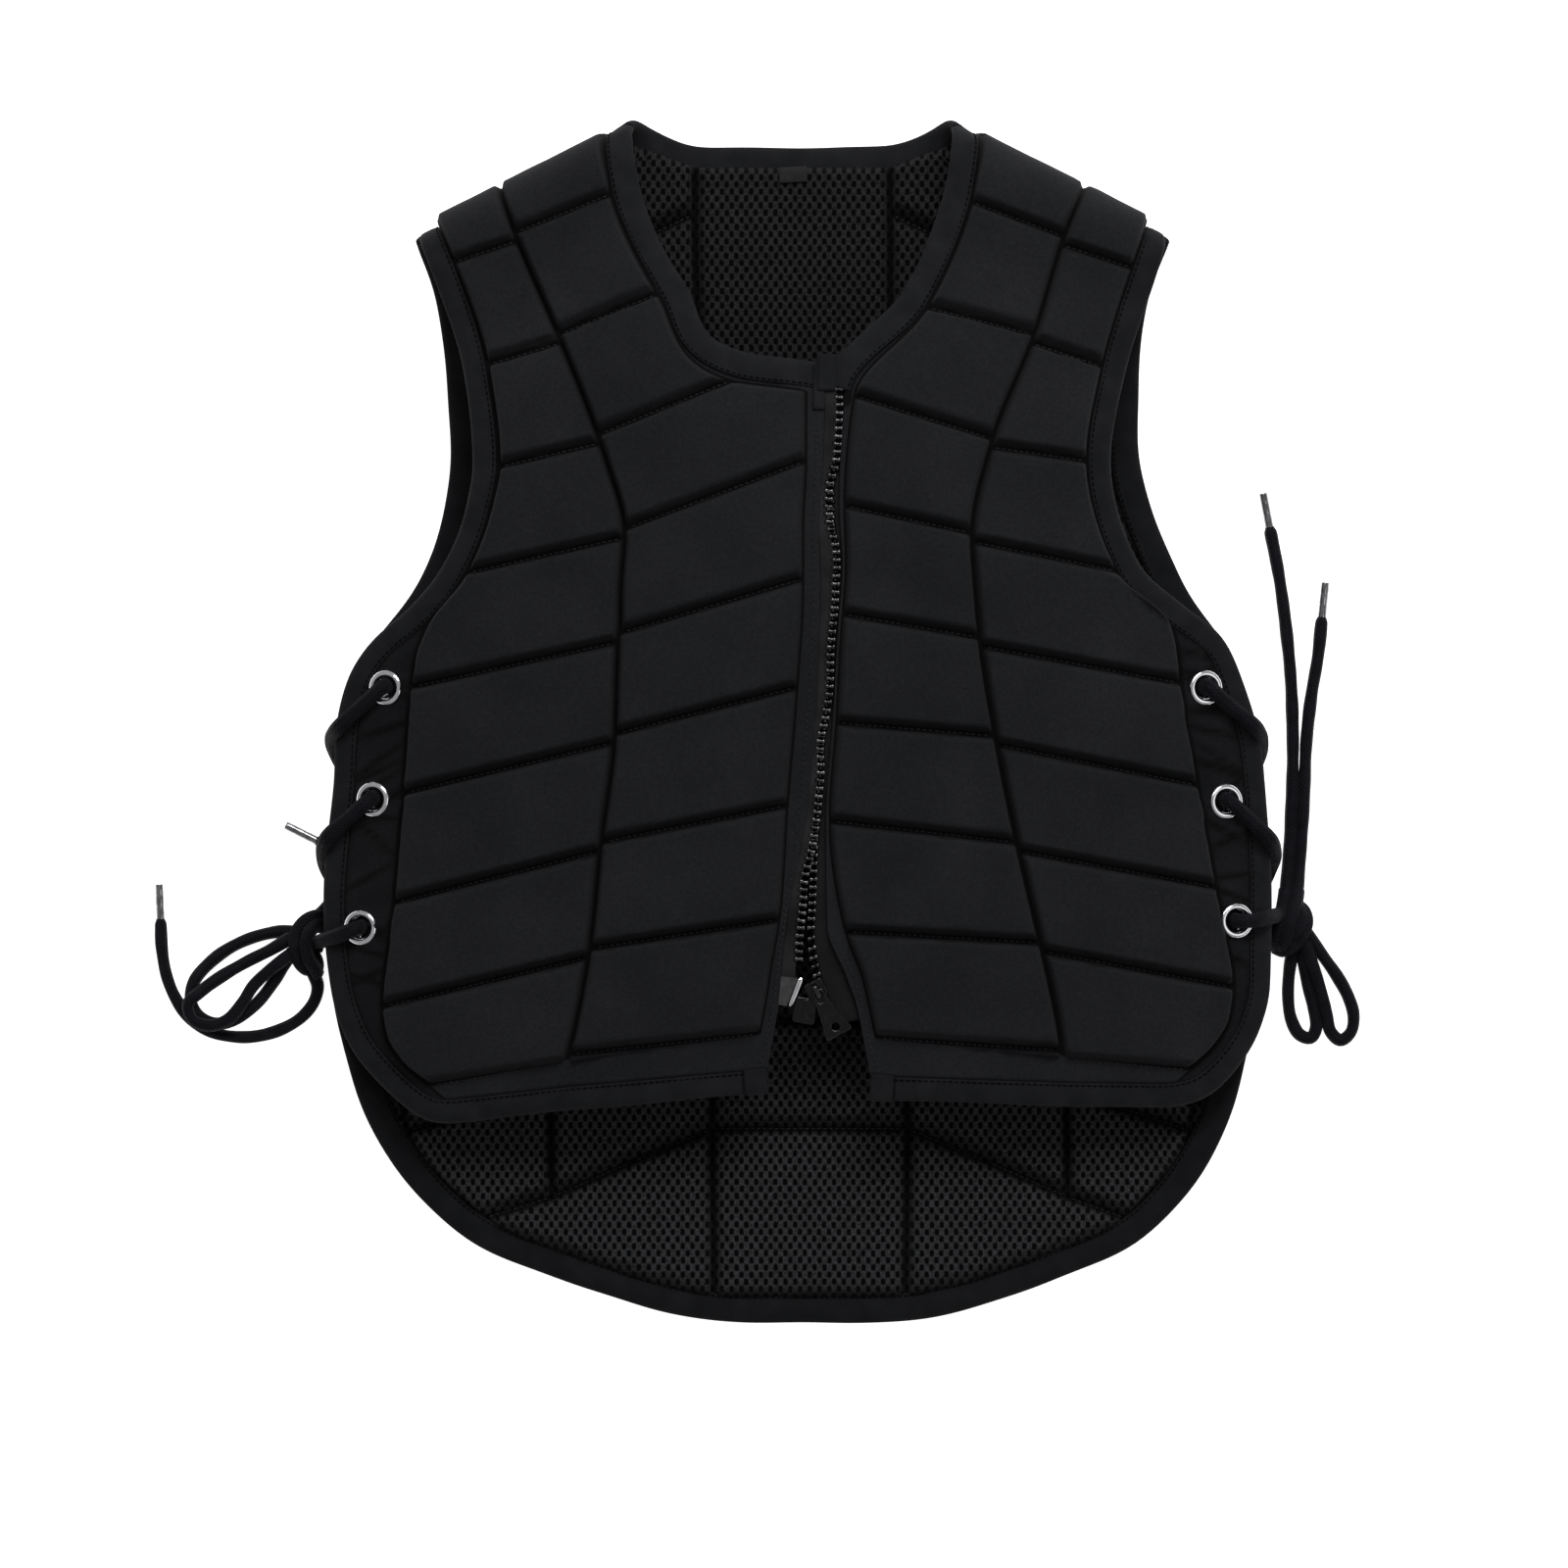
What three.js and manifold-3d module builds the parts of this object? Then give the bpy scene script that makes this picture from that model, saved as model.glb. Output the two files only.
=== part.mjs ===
import * as THREE from 'three';
import Module from 'manifold-3d';

const wasm = await Module();
wasm.setup();

// Protective vest lying on its back, zip undone. Millimetres: X across the body, Y from hem to neck, Z up.

// Middle of the vest's outline in plan, where the frame's origin stands on the floor
const ORIGIN = { x: 1.8, y: 0.2 };

// Cloth, foam and fit
const PAD_HALF = 8;
const SEAM_HALF = 1.5;
const PAD_BEVEL = 6;
const BEVEL_SHARE_ACROSS = 0.4;
const BEVEL_SHARE_DOWN = 0.3;
const FIT_GAP = 0.3;

// Shoulder roll: front and back meet on the crest at half the folded height
const ROLL_CENTRE_Z = 22;
const ROLL_RADIUS = 14;
const ROLL_DEPTH = 22;
const SHOULDER_HALF_GAP = 0.2;
const SHOULDER_BLEND = 90;
const CREST_ROWS = [0.16, 0.35];

// Front arch over the hollow for the chest
const ARCH_HALF_WIDTH = 243;
const ARCH_POWER = 2.4;
const FLAP_EDGE_Z = 25;
const CROWN = [
  { y: -200, z: 58 },
  { y: -80, z: 66 },
  { y: 50, z: 69 },
  { y: 150, z: 63 },
  { y: 230, z: 50 },
  { y: 306, z: 36 },
];

// Back: pads flat on the floor, side flaps drawn up by the laces
const BACK_MIDDLE_Z = 8;
const SIDE_LIFT = 9;
const LIFT_FROM_X = 192;
const LIFT_TO_X = 236;

// Edge bindings
const FRONT_BINDING_WIDTH = 9;
const BACK_BINDING_WIDTH = 11;
const NECK_BINDING_WIDTH = 10;
const NECK_HALF_WIDTH = 86;
const NECK_GAP = 0.8;
const NECK_CORNER_ROW = { left: 3.25, right: 3 };
const BACK_GAP = 0.6;
const BINDING_HALF = 2.5;

// Seam crossings of the front halves, one row per seam or bend from shoulder crest to hem
const FRONT_LEFT = [
  { row: 0, edge: [-187.3,257.7], outer: [-184.3,259.2], seam: [-151.3,275.7],
    inner: [-98.3,302.2], zip: [-95.3,303.7] },
  { row: 1, edge: [-178,235], outer: [-175,236], seam: [-143,249], inner: [-94,271], zip: [-91,273] },
  { row: 2, edge: [-161,183], outer: [-157,183], seam: [-120,196], inner: [-70,219], zip: [-67,221] },
  { row: 3, edge: [-155,131], outer: [-151,131], seam: [-100,145], inner: [-32,175], zip: [-29,179] },
  { row: 3.25, edge: [-158,114], outer: [-154,115], seam: [-96,133], inner: [5.5,169], zip: [15,172] },
  { row: 4, edge: [-172,77], outer: [-168,77], seam: [-87,97], inner: [5.5,134], zip: [14.2,135] },
  { row: 4.6, edge: [-192,52], outer: [-189,48], seam: [-89,64], inner: [4,99], zip: [12,100] },
  { row: 4.8, edge: [-211,36], outer: [-194,34], seam: [-89,54], inner: [4,87], zip: [12.3,88] },
  { row: 5, edge: [-221,20], outer: [-196,19], seam: [-90,44], inner: [4,74], zip: [12.8,75] },
  { row: 6, edge: [-228,-33], outer: [-200,-35], seam: [-92,-7], inner: [1,19], zip: [11.3,20] },
  { row: 7, edge: [-233,-93], outer: [-205,-91], seam: [-99,-62], inner: [-4,-41], zip: [6.5,-40] },
  { row: 8, edge: [-229,-135], outer: [-211,-144], seam: [-105,-116], inner: [-8,-99], zip: [-4,-98] },
  { row: 8.4, edge: [-221,-158], outer: [-209,-158], seam: [-109,-139], inner: [-12,-122], zip: [-6.8,-121] },
  { row: 8.75, edge: [-208,-175], outer: [-200,-173], seam: [-113,-158], inner: [-15,-141], zip: [-8.5,-140] },
  { row: 9, edge: [-194,-188], outer: [-186,-184], seam: [-116,-170], inner: [-18,-157], zip: [-11.5,-157] },
  { row: 10, edge: [-184,-194], outer: [-175,-194], seam: [-115,-187], inner: [-27,-179], zip: [-15,-178] },
];
const FRONT_RIGHT = [
  { row: 0, edge: [183.3,257.7], outer: [180.3,259.2], seam: [147.3,275.7],
    inner: [94.3,302.2], zip: [91.3,303.7] },
  { row: 1, edge: [175,233], outer: [172,233], seam: [136,247], inner: [89,267], zip: [86,269] },
  { row: 2, edge: [159,182], outer: [156,182], seam: [120,196], inner: [66,212], zip: [63,214] },
  { row: 3, edge: [151,134], outer: [148,134], seam: [99,143], inner: [29,167], zip: [25,170] },
  { row: 4, edge: [168,75], outer: [164,78], seam: [89,95], inner: [24,111], zip: [22,112] },
  { row: 4.6, edge: [196,50], outer: [191,51], seam: [91,63], inner: [24.7,79], zip: [23.5,80] },
  { row: 4.8, edge: [211,39], outer: [194,38], seam: [92,52], inner: [24,67], zip: [22.9,68] },
  { row: 5, edge: [220,20], outer: [196,21], seam: [93,42], inner: [23,56], zip: [21.9,57] },
  { row: 6, edge: [231,-30], outer: [205,-31], seam: [101,-8], inner: [19.8,1], zip: [18.6,2] },
  { row: 7, edge: [234,-83], outer: [214,-83], seam: [112,-62], inner: [16.5,-49], zip: [15.2,-48] },
  { row: 8, edge: [234,-133], outer: [223,-134], seam: [124,-113], inner: [24.5,-105], zip: [15.8,-103] },
  { row: 8.4, edge: [229,-153], outer: [221,-150], seam: [129,-135], inner: [33,-128], zip: [25,-127] },
  { row: 8.75, edge: [219,-169], outer: [213,-164], seam: [133,-155], inner: [37,-145], zip: [31,-144] },
  { row: 9, edge: [207,-181], outer: [200,-176], seam: [135,-168], inner: [40,-159], zip: [34,-159] },
  { row: 10, edge: [196,-185], outer: [189,-186], seam: [137,-185], inner: [50,-182], zip: [38,-181] },
];

// Seam crossings of the back, left of its middle line; the right side is the mirror image in that line
const BACK = [
  { row: 0, edge: [-187.3,257.7], outer: [-184.3,259.2], side: [-151.3,275.7],
    strap: [-96.3,303.2], spine: [-52,287] },
  { row: 1, edge: [-170.5,209], outer: [-167.5,210], side: [-146,220], strap: [-97,241], spine: [-52,262] },
  { row: 2, edge: [-165.5,137], outer: [-162.5,138], side: [-141,145], strap: [-95,161], spine: [-50,177] },
  { row: 3, edge: [-178,77], outer: [-173,78], side: [-136,90], strap: [-92,106], spine: [-48,122] },
  { row: 4, edge: [-219,14], outer: [-194,12], side: [-134,34], strap: [-90,51], spine: [-46,67] },
  { row: 5, edge: [-225.6,-45], outer: [-200,-46], side: [-131,-20], strap: [-88,-4], spine: [-45,13] },
  { row: 6, edge: [-230,-104], outer: [-203,-103], side: [-128,-75], strap: [-86,-59], spine: [-44,-42] },
  { row: 7, edge: [-220,-165], outer: [-205,-161], side: [-126,-132], strap: [-85,-115], spine: [-43,-97] },
  { row: 8, edge: [-204,-210], outer: [-200,-208], side: [-126,-187], strap: [-84,-169], spine: [-43,-152] },
  { row: 9, edge: [-163,-255], outer: [-160,-253], side: [-125,-242], strap: [-84,-224], spine: [-43,-207] },
  { row: 10, edge: [-152,-260], outer: [-146,-263], side: [-106,-277], strap: [-74,-288], spine: [-42,-295] },
];

// Middle line of the back by row, for its seams and for its two edges: the seams lean right towards the tail
const BACK_MIDDLE = [
  { row: 0, seams: -2, edges: -2 },
  { row: 1, seams: -2, edges: -2 },
  { row: 2, seams: -1, edges: -1 },
  { row: 3, seams: 0, edges: 1.5 },
  { row: 4, seams: 0, edges: 0 },
  { row: 5, seams: 0, edges: 0 },
  { row: 6, seams: 0.5, edges: 0.5 },
  { row: 7, seams: 3, edges: 0 },
  { row: 8, seams: 6, edges: 1.5 },
  { row: 9, seams: 7, edges: 5 },
  { row: 10, seams: 7, edges: 6 },
];
const BACK_EDGES = ['edge', 'outer'];

// Zip: reach of the tape beyond each panel's centre edge, by row
const ZIP_REACH = [
  { row: 3, left: 4.2, right: 3.6 },
  { row: 3.6, left: 5.6, right: 3.6 },
  { row: 4, left: 4.75, right: 3.6 },
  { row: 4.6, left: 4.1, right: 3.6 },
  { row: 4.8, left: 6.4, right: 3.6 },
  { row: 5, left: 6, right: 3.6 },
  { row: 6, left: 4.4, right: 4 },
  { row: 7, left: 3.6, right: 4.5 },
  { row: 8, left: 5.2, right: 7 },
  { row: 8.4, left: 6.5, right: 12.5 },
  { row: 9, left: 6.9, right: 12.5 },
];
const TAPE_HALF = 0.5;
const TAPE_TUCK = 0.8;
const TAPE_TAB = 13;
const LEFT_TAPE_LEVEL = 1.2;
const RIGHT_TAPE_LEVEL = -2.3;
const TEETH_WIDTH = 3.5;
const TEETH_HALF = 1.2;
const PIN_WIDTH = 4.5;
const PIN_HALF = 1;
const LEFT_TAPE_ROWS = { top: 3.25, foot: 8.75 };
const RIGHT_TAPE_ROWS = { top: 3, foot: 8.4 };
const LEFT_TEETH_ROWS = { top: 3.3, foot: 8.35 };
const RIGHT_TEETH_ROWS = { top: 3.3, foot: 8.3 };
const PIN_ROWS = { top: 8.42, foot: 8.75 };

// Slider, pull and box at the foot of the zip
const SLIDER = { x: 10.5, y: -135.5, turnDeg: 28, length: 11, width: 10, nose: 6, waist: 0.3 };
const SLIDER_PLATE = { thickness: 1.4, throat: 2.8, post: 3 };
const BRIDGE = { length: 8, width: 2.2, height: 4, window: 5, clear: 2.7 };
const PULL = { length: 25, neck: 7, end: 15, half: 0.8, barRadius: 0.8, armGap: 3.4, windowEnd: 6 };
const PULL_HOLE = { radius: 2, fromEnd: 4.8 };
const ZIP_BOX = { x: 3.6, y: -147.5, turnDeg: -18, width: 10.5, length: 10, half: 1.6 };

// Eyelets: rolled rings pressed through the side flaps
const EYELET = { hole: 5.2, barrel: 6.2, flange: 8, thickness: 1.4, seat: 0.5, clearance: 0.4 };
const EYELET_SIDES = { front: 11, back: 9, cut: 10 };
const EYELETS = [
  { name: 'eyelet_front_left_1', panel: 'frontLeft', x: -209, y: 19 },
  { name: 'eyelet_front_left_2', panel: 'frontLeft', x: -215.5, y: -38 },
  { name: 'eyelet_front_left_3', panel: 'frontLeft', x: -222, y: -103.5 },
  { name: 'eyelet_front_right_1', panel: 'frontRight', x: 208.5, y: 19 },
  { name: 'eyelet_front_right_2', panel: 'frontRight', x: 219, y: -39 },
  { name: 'eyelet_front_right_3', panel: 'frontRight', x: 224.5, y: -100 },
  { name: 'eyelet_back_left_1', panel: 'back', x: -207, y: 8 },
  { name: 'eyelet_back_left_2', panel: 'back', x: -214, y: -50 },
  { name: 'eyelet_back_left_3', panel: 'back', x: -216.5, y: -110 },
  { name: 'eyelet_back_right_1', panel: 'back', x: 210, y: 8 },
  { name: 'eyelet_back_right_2', panel: 'back', x: 218, y: -50 },
  { name: 'eyelet_back_right_3', panel: 'back', x: 222, y: -110 },
];

// Laces: round braided cord, tied in a bow beside the lowest eyelet of each side
const LACE_RADIUS = 3.1;
const LACE_SIDES = 8;
const LACING = { clear: 3.2, underBackZ: 9.9, aroundZ: 20.5, steps: 32 };
const LACING_FLAP_ROWS = { top: 5, foot: 8.4 };
const LACING_TO_KNOT = { acrossX: 0.55, acrossY: 0.4, rimY: 0.75 };
const LACING_REACH = { below: 7, above: 6.5, backBelow: 7.5, backAbove: 6 };
const LACING_TURN = [
  { place: 'flap', inX: 11, downY: 8, rise: 0 },
  { place: 'edge', inX: 0.5, downY: 19, rise: 2.6 },
  { place: 'around', inX: -5.4, downY: 28, rise: 0 },
  { place: 'under', inX: 0, downY: 36, rise: 0 },
];
const KNOT_PROFILE = [
  { along: -1, radius: 0 },
  { along: -1, radius: 0.62 },
  { along: -0.6, radius: 0.95 },
  { along: 0.1, radius: 1 },
  { along: 0.65, radius: 0.9 },
  { along: 1, radius: 0.6 },
  { along: 1, radius: 0 },
];
const KNOTS = [
  { name: 'knot_left', x: -251, y: -111, z: 9.5, radius: 7, half: 15 },
  { name: 'knot_right', x: 254.5, y: -102, z: 10, radius: 9, half: 14 },
];
const KNOT_SIDES = 8;

// Bow loops and free ends, from the knot outward, lying on the floor or on each other
const BOW_LEFT_1 = [
  { x: -258.5, y: -106, z: 5.5 },
  { x: -266, y: -106, z: 4 },
  { x: -279, y: -109, z: 3.2 },
  { x: -291, y: -114.5, z: 3.5 },
  { x: -301, y: -122, z: 5 },
  { x: -308.5, y: -131, z: 8 },
  { x: -310.5, y: -140, z: 9.8 },
  { x: -307, y: -148.5, z: 9.8 },
  { x: -298, y: -153, z: 9.8 },
  { x: -287, y: -150.5, z: 9.5 },
  { x: -276, y: -142, z: 7 },
  { x: -268, y: -131.5, z: 5 },
  { x: -263.5, y: -124, z: 5 },
  { x: -259, y: -118, z: 5.5 },
];
const BOW_LEFT_2 = [
  { x: -259.2, y: -109, z: 13 },
  { x: -269, y: -115, z: 12 },
  { x: -281, y: -121, z: 11 },
  { x: -294, y: -128.5, z: 12 },
  { x: -305, y: -136.5, z: 15 },
  { x: -311.5, y: -143, z: 16.4 },
  { x: -309, y: -151, z: 16.4 },
  { x: -300, y: -154, z: 16.4 },
  { x: -290.5, y: -150.5, z: 16 },
  { x: -283.5, y: -142, z: 14.5 },
  { x: -278.5, y: -134, z: 12.5 },
  { x: -272, y: -127.5, z: 12.5 },
  { x: -264.5, y: -121.5, z: 13 },
  { x: -259.2, y: -117.5, z: 13.5 },
];
const END_LEFT_LONG = [
  { x: -248, y: -126.6, z: 7.5 },
  { x: -245.5, y: -134, z: 4.5 },
  { x: -247.5, y: -142, z: 3.2 },
  { x: -254, y: -150, z: 3.2 },
  { x: -264, y: -156, z: 3.2 },
  { x: -276, y: -159.5, z: 3.2 },
  { x: -288, y: -160, z: 3.2 },
  { x: -300, y: -157.5, z: 3.2 },
  { x: -310.5, y: -151, z: 3.2 },
  { x: -318, y: -141, z: 3.2 },
  { x: -323, y: -129, z: 3.2 },
  { x: -325.5, y: -115, z: 3.2 },
  { x: -326.2, y: -99, z: 3.2 },
];
const END_LEFT_SHORT = [
  { x: -250, y: -94.3, z: 8 },
  { x: -246.5, y: -87, z: 4.5 },
  { x: -241.8, y: -77.5, z: 3.1 },
  { x: -239.9, y: -69, z: 3.1 },
  { x: -241.6, y: -62.5, z: 3.1 },
  { x: -246.5, y: -59, z: 3.2 },
];
const BOW_RIGHT_1 = [
  { x: 251.3, y: -116.6, z: 7 },
  { x: 250.8, y: -126, z: 4 },
  { x: 251.3, y: -137, z: 3.2 },
  { x: 253, y: -148, z: 3.2 },
  { x: 258, y: -156.5, z: 3.2 },
  { x: 264, y: -158, z: 3.2 },
  { x: 266, y: -151, z: 3.2 },
  { x: 264.5, y: -141, z: 3.2 },
  { x: 261.5, y: -130, z: 3.6 },
  { x: 258.5, y: -116.6, z: 7 },
];
const BOW_RIGHT_2 = [
  { x: 256.5, y: -118.4, z: 14.5 },
  { x: 264, y: -126, z: 11 },
  { x: 270.5, y: -136, z: 6.5 },
  { x: 273.3, y: -148, z: 3.4 },
  { x: 276, y: -158, z: 3.2 },
  { x: 282.5, y: -162, z: 3.2 },
  { x: 287.5, y: -155.5, z: 3.2 },
  { x: 287, y: -146, z: 3.2 },
  { x: 283, y: -135, z: 3.4 },
  { x: 276.5, y: -124.5, z: 5.5 },
  { x: 264.5, y: -112, z: 10.5 },
];
const END_RIGHT_1 = [
  { x: 251, y: -86.6, z: 8 },
  { x: 252.2, y: -75, z: 4 },
  { x: 253.4, y: -58, z: 3.2 },
  { x: 254.6, y: -35, z: 3.2 },
  { x: 255, y: -8, z: 3.2 },
  { x: 254, y: 23, z: 3.2 },
  { x: 251.5, y: 50, z: 3.2 },
  { x: 248, y: 76, z: 3.2 },
  { x: 243, y: 102, z: 3.2 },
];
const END_RIGHT_2 = [
  { x: 257.8, y: -86.6, z: 8 },
  { x: 259.2, y: -75, z: 4 },
  { x: 260.5, y: -58, z: 3.2 },
  { x: 262, y: -32, z: 3.2 },
  { x: 263, y: -8, z: 3.2 },
  { x: 265, y: 15, z: 3.2 },
  { x: 268, y: 36, z: 3.2 },
  { x: 270, y: 56, z: 3.2 },
];
const AGLET = { radius: 2, length: 17, sides: 7 };
const FREE_LACES = [
  { name: 'bow_left_1', route: BOW_LEFT_1, steps: 14 },
  { name: 'bow_left_2', route: BOW_LEFT_2, steps: 13 },
  { name: 'lace_end_left_long', route: END_LEFT_LONG, steps: 13, aglet: 'aglet_left_long' },
  { name: 'lace_end_left_short', route: END_LEFT_SHORT, steps: 6, aglet: 'aglet_left_short' },
  { name: 'bow_right_1', route: BOW_RIGHT_1, steps: 10 },
  { name: 'bow_right_2', route: BOW_RIGHT_2, steps: 11 },
  { name: 'lace_end_right_1', route: END_RIGHT_1, steps: 8, aglet: 'aglet_right_1' },
  { name: 'lace_end_right_2', route: END_RIGHT_2, steps: 7, aglet: 'aglet_right_2' },
];

// Bare tag sewn into the back of the neck
const LABEL = { x: -1.5, width: 14, half: 0.3, top: { y: 286.3, z: 16.3 }, foot: { y: 278.3, z: 17 } };

// Materials
const CLOTH = { colour: 0x1b1c1e, roughness: 0.9, metalness: 0 };
const TAPE = { colour: 0x161618, roughness: 0.8, metalness: 0 };
const TEETH = { colour: 0x2a2a2c, roughness: 0.35, metalness: 0.6 };
const BLACK_METAL = { colour: 0x101012, roughness: 0.25, metalness: 0.8 };
const SILVER = { colour: 0xd8d9dc, roughness: 0.12, metalness: 1 };
const LACE = { colour: 0x101016, roughness: 0.85, metalness: 0 };

const group = new THREE.Group();
group.name = 'protective_vest';

function addMesh(name, geometry, look) {
  const material = new THREE.MeshStandardMaterial({
    color: look.colour,
    roughness: look.roughness,
    metalness: look.metalness,
  });
  geometry.translate(-ORIGIN.x, -ORIGIN.y, 0);
  const mesh = new THREE.Mesh(geometry, material);
  mesh.name = name;
  group.add(mesh);
}

function blend(a, b, t) {
  return a + (b - a) * t;
}

function smoothStep(from, to, value) {
  const t = Math.min(1, Math.max(0, (value - from) / (to - from)));
  return t * t * (3 - 2 * t);
}

function lookUp(table, key, value, column) {
  let i = 0;
  while (i < table.length - 2 && table[i + 1][key] < value) i += 1;
  const low = table[i];
  const high = table[i + 1];
  const t = Math.min(1, Math.max(0, (value - low[key]) / (high[key] - low[key])));
  if (Array.isArray(low[column])) {
    return low[column].map((v, k) => blend(v, high[column][k], t));
  }
  return blend(low[column], high[column], t);
}

// Shoulder crest as a line in plan, with its inward direction and the distance inside it
function crestLine(table) {
  const from = table[0].edge;
  const to = table[0].zip;
  const length = Math.hypot(to[0] - from[0], to[1] - from[1]);
  const along = [(to[0] - from[0]) / length, (to[1] - from[1]) / length];
  const inward = from[0] < 0 ? [along[1], -along[0]] : [-along[1], along[0]];
  return { from, inward };
}
const CREST = { left: crestLine(FRONT_LEFT), right: crestLine(FRONT_RIGHT) };

function rollOver(x, y, flatZ, upward) {
  const crest = x < 0 ? CREST.left : CREST.right;
  const inside = (x - crest.from[0]) * crest.inward[0] + (y - crest.from[1]) * crest.inward[1];
  const reach = Math.max(inside, SHOULDER_HALF_GAP);
  if (reach >= ROLL_DEPTH) {
    const level = ROLL_CENTRE_Z + upward * ROLL_RADIUS;
    const eased = smoothStep(ROLL_DEPTH, ROLL_DEPTH + SHOULDER_BLEND, reach);
    return new THREE.Vector3(x, y, blend(level, flatZ, eased));
  }
  const angle = (reach / ROLL_DEPTH) * Math.PI * 0.5;
  const shift = ROLL_DEPTH - ROLL_RADIUS * Math.cos(angle) - inside;
  const z = ROLL_CENTRE_Z + upward * ROLL_RADIUS * Math.sin(angle);
  return new THREE.Vector3(x + crest.inward[0] * shift, y + crest.inward[1] * shift, z);
}

function frontMiddle(x, y) {
  const crown = lookUp(CROWN, 'y', y, 'z');
  const across = Math.min(1, Math.abs(x) / ARCH_HALF_WIDTH) ** ARCH_POWER;
  return rollOver(x, y, blend(crown, FLAP_EDGE_Z, across), 1);
}

function backMiddle(x, y) {
  const along = (Math.abs(x) - LIFT_FROM_X) / (LIFT_TO_X - LIFT_FROM_X);
  const lift = SIDE_LIFT * Math.min(1, Math.max(0, along));
  return rollOver(x, y, BACK_MIDDLE_Z + lift, -1);
}

// Outward direction of a panel's middle surface, from two short steps across it
function outward(middle, x, y, facing) {
  const step = 0.5;
  const across = middle(x + step, y).sub(middle(x - step, y));
  const along = middle(x, y + step).sub(middle(x, y - step));
  return across.cross(along).normalize().multiplyScalar(facing);
}

function geometryFrom(points, triangles) {
  let volume = 0;
  for (const [a, b, c] of triangles) {
    volume += points[a].dot(new THREE.Vector3().crossVectors(points[b], points[c]));
  }
  const geometry = new THREE.BufferGeometry();
  const flat = points.flatMap((p) => [p.x, p.y, p.z]);
  geometry.setAttribute('position', new THREE.Float32BufferAttribute(flat, 3));
  geometry.setIndex(triangles.flatMap(([a, b, c]) => (volume < 0 ? [a, c, b] : [a, b, c])));
  return geometry;
}

function toSolid(geometry) {
  const vertProperties = new Float32Array(geometry.attributes.position.array);
  const triVerts = new Uint32Array(geometry.index.array);
  const mesh = new wasm.Mesh({ numProp: 3, vertProperties, triVerts });
  mesh.merge();
  return new wasm.Manifold(mesh);
}

function toGeometry(solid) {
  const mesh = solid.getMesh();
  const geometry = new THREE.BufferGeometry();
  geometry.setAttribute('position', new THREE.BufferAttribute(new Float32Array(mesh.vertProperties), 3));
  geometry.setIndex(new THREE.BufferAttribute(new Uint32Array(mesh.triVerts), 1));
  return geometry;
}

// Stations across one row: each column line gives its own stations, with the pad's fullness there
function stations(columns, pads, row) {
  const list = [];
  columns.forEach((line, k) => {
    const point = line(row);
    const before = pads[k - 1];
    const after = pads[k];
    const toward = (other) => {
      const target = columns[other](row);
      const length = Math.hypot(target[0] - point[0], target[1] - point[1]);
      const t = Math.min(BEVEL_SHARE_ACROSS, PAD_BEVEL / length);
      return [blend(point[0], target[0], t), blend(point[1], target[1], t)];
    };
    const seam = !(before && after && before !== after && k !== columns.length - 1);
    if (before && (seam || before === 'shoulder')) {
      list.push({ at: toward(k - 1), pad: k - 1, full: 1, neck: before === 'neck' });
    }
    list.push({ at: point, pad: k, full: seam ? 0 : 1, neck: before === 'neck' || after === 'neck' });
    if (after && (seam || after === 'shoulder')) {
      list.push({ at: toward(k + 1), pad: k, full: 1, neck: after === 'neck' });
    }
  });
  return list;
}

// Rows of a panel: crest, seam and pad shoulders of each row, hem edge; turns marks where the edges bend
function rowLines(table, lengthColumn, hemBand) {
  const rows = [{ row: 0, full: 1, turns: true }];
  const seams = table.filter((entry) => Number.isInteger(entry.row));
  const padRows = seams.length - (hemBand ? 2 : 1);
  for (let k = 0; k < padRows; k += 1) {
    const from = seams[k];
    const to = seams[k + 1];
    const [spanX, spanY] = [0, 1].map((i) => to[lengthColumn][i] - from[lengthColumn][i]);
    const bevel = Math.min(BEVEL_SHARE_DOWN, PAD_BEVEL / Math.hypot(spanX, spanY));
    if (k === 0) CREST_ROWS.forEach((row) => rows.push({ row, full: 1, turns: true }));
    else rows.push({ row: from.row, full: 0, turns: true }, { row: from.row + bevel, full: 1, turns: false });
    const bends = table.filter((entry) => entry.row > from.row && entry.row < to.row);
    bends.forEach((entry) => rows.push({ row: entry.row, full: 1, turns: true }));
    rows.push({ row: to.row - bevel, full: 1, turns: k === 0 });
  }
  seams.slice(padRows).forEach((entry) => rows.push({ row: entry.row, full: 0, turns: true }));
  return rows;
}

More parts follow.
